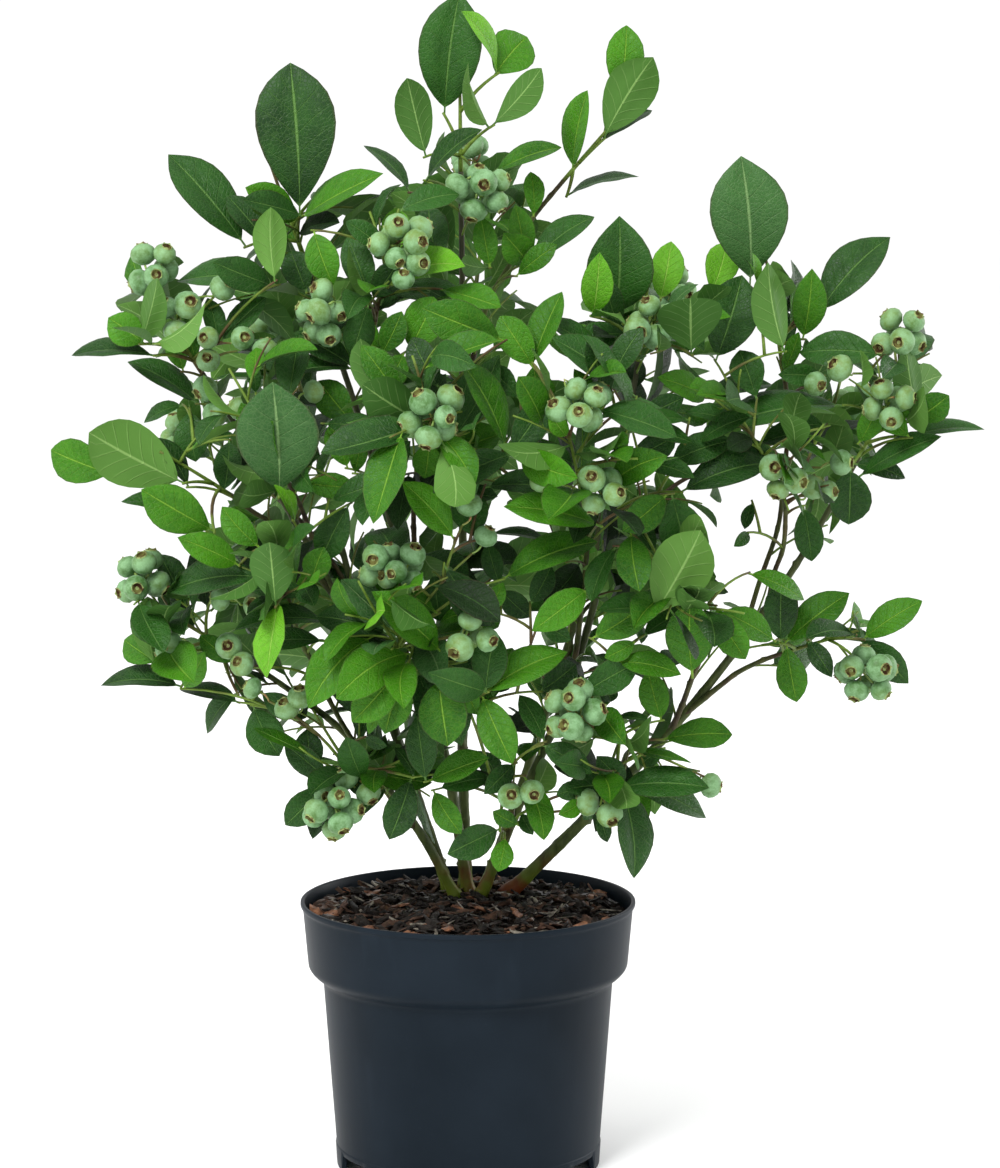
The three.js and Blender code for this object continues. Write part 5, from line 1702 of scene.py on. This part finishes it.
def berry_skin(start):
    """Green skin under a patchy bluish-white bloom, with faint streaks."""
    place = start.place()
    bloom = place.noise(170, 4).span(0.34, 0.62)
    speck = place.noise(900, 2)
    streak = speck.span(0.45, 0.65)
    body = place.noise(28, 1).span(0.4, 0.6).blend(rgb(62, 102, 42), rgb(96, 124, 52))
    return {
        "Base Color": (bloom * 0.7 + streak * 0.2).blend(body, rgb(124, 164, 118)),
        "Roughness": 0.5 + bloom * 0.2,
        "Specular IOR Level": 0.4,
        "Normal": start.bump(speck, 0.0002, 0.4),
    }


def crown_look(start):
    """The crown's lobes and the scar at its middle: pale green, with dry brown patches."""
    place = start.place()
    dry = place.noise(420, 4)
    return {
        "Base Color": dry.span(0.38, 0.54).blend(rgb(84, 58, 34), rgb(134, 152, 92)),
        "Roughness": 0.8,
        "Specular IOR Level": 0.2,
        "Normal": start.bump(dry, 0.0004, 0.8),
    }


def pit_look(start):
    """The ring of the pit in the crown: brown, and green in places."""
    place = start.place()
    spot = place.noise(300, 3)
    return {
        "Base Color": spot.span(0.44, 0.60).blend(rgb(54, 36, 20), rgb(98, 96, 50)),
        "Roughness": 0.85,
        "Specular IOR Level": 0.1,
    }


points, faces = berries(berry_places, berry_axes, berry_radii, rng)
skins = [finish("berry_skin", berry_skin), finish("berry_crown", crown_look), finish("berry_pit", pit_look)]
fruit = piece("berries", points, faces, skins, crease=BERRY_CREASE)
rows = np.repeat(np.arange(len(BERRY_PROFILE) - 1), BERRY_SIDES)
fans = np.repeat([0, 1], BERRY_SIDES)
parts = (rows >= CROWN_ROW - 1).astype(int) + (rows >= PIT_ROW)
parts = np.concatenate([np.tile(parts, len(berry_places)), np.tile(fans, len(berry_places))])
fruit.data.polygons.foreach_set("material_index", parts.astype(np.int32))


def stalk_look(start):
    """Smooth green stalks, a little rusty in places."""
    place = start.place()
    rust = place.noise(90, 3).span(0.52, 0.66)
    return {
        "Base Color": rust.blend(rgb(122, 150, 70), rgb(140, 96, 58)),
        "Roughness": 0.55,
        "Normal": start.bump(place.noise(500, 2), 0.0002, 0.4),
    }


stalk_green = finish("stalk_green", stalk_look)
stalk_radii = np.tile(STALK_RADII, (len(stalk_runs), 1))
stalks = piece("berry_stalks", *tubes(np.array(stalk_runs), stalk_radii, STALK_SIDES), [stalk_green])


# ---- Floor, light and camera ----------------------------------------------------------------------
# A plain pale floor, wide enough to run out of sight, soft light from all round, a large soft lamp
# high in front and one on each side.
FLOOR_REACH = 40
LOOK_DOWN = 6.754


def floor_look(start):
    """Smooth pale paint with the least cloudiness."""
    place = start.place()
    cloud = place.noise(0.8, 2)
    return {"Base Color": cloud.blend((0.96, 0.96, 0.96, 1), (0.98, 0.98, 0.98, 1)), "Roughness": 0.9}


floor_mesh = bpy.data.meshes.new("floor")
floor_corners = [(x * FLOOR_REACH, y * FLOOR_REACH, 0) for x, y in ((-1, -1), (1, -1), (1, 1), (-1, 1))]
floor_mesh.from_pydata(floor_corners, [], [(0, 1, 2, 3)])
floor_mesh.materials.append(finish("floor_paint", floor_look))
floor_object = bpy.data.objects.new("floor", floor_mesh)
bpy.context.scene.collection.objects.link(floor_object)

world = bpy.data.worlds.new("soft_light")
world.use_nodes = True
world.node_tree.nodes["Background"].inputs["Color"].default_value = (1, 1, 1, 1)
world.node_tree.nodes["Background"].inputs["Strength"].default_value = 1.06
bpy.context.scene.world = world
bpy.context.scene.view_settings.view_transform = "Standard"


def softbox(name, place, size, power, aim=(0, 0, 0.35)):
    """A square lamp that faces a point on the plant."""
    lamp = bpy.data.lights.new(name, "AREA")
    lamp.size = size
    lamp.energy = power
    made = bpy.data.objects.new(name, lamp)
    made.location = place
    made.rotation_euler = (Vector(aim) - Vector(place)).to_track_quat("-Z", "Y").to_euler()
    bpy.context.scene.collection.objects.link(made)


softbox("key", (-0.9, -1.9, 2.4), 1.0, 75)
softbox("right", (2.1, 1.1, 0.8), 0.9, 26)
softbox("left", (-2.4, 0.0, 1.2), 1.2, 9)

camera = bpy.data.cameras.new("camera")
camera_object = bpy.data.objects.new("camera", camera)
camera.lens = FOCAL_PIXELS / IMAGE_HEIGHT * camera.sensor_width
camera_object.location = EYE * MM
camera_object.rotation_euler = (radians(90 - LOOK_DOWN), 0, 0)
bpy.context.scene.collection.objects.link(camera_object)
bpy.context.scene.camera = camera_object
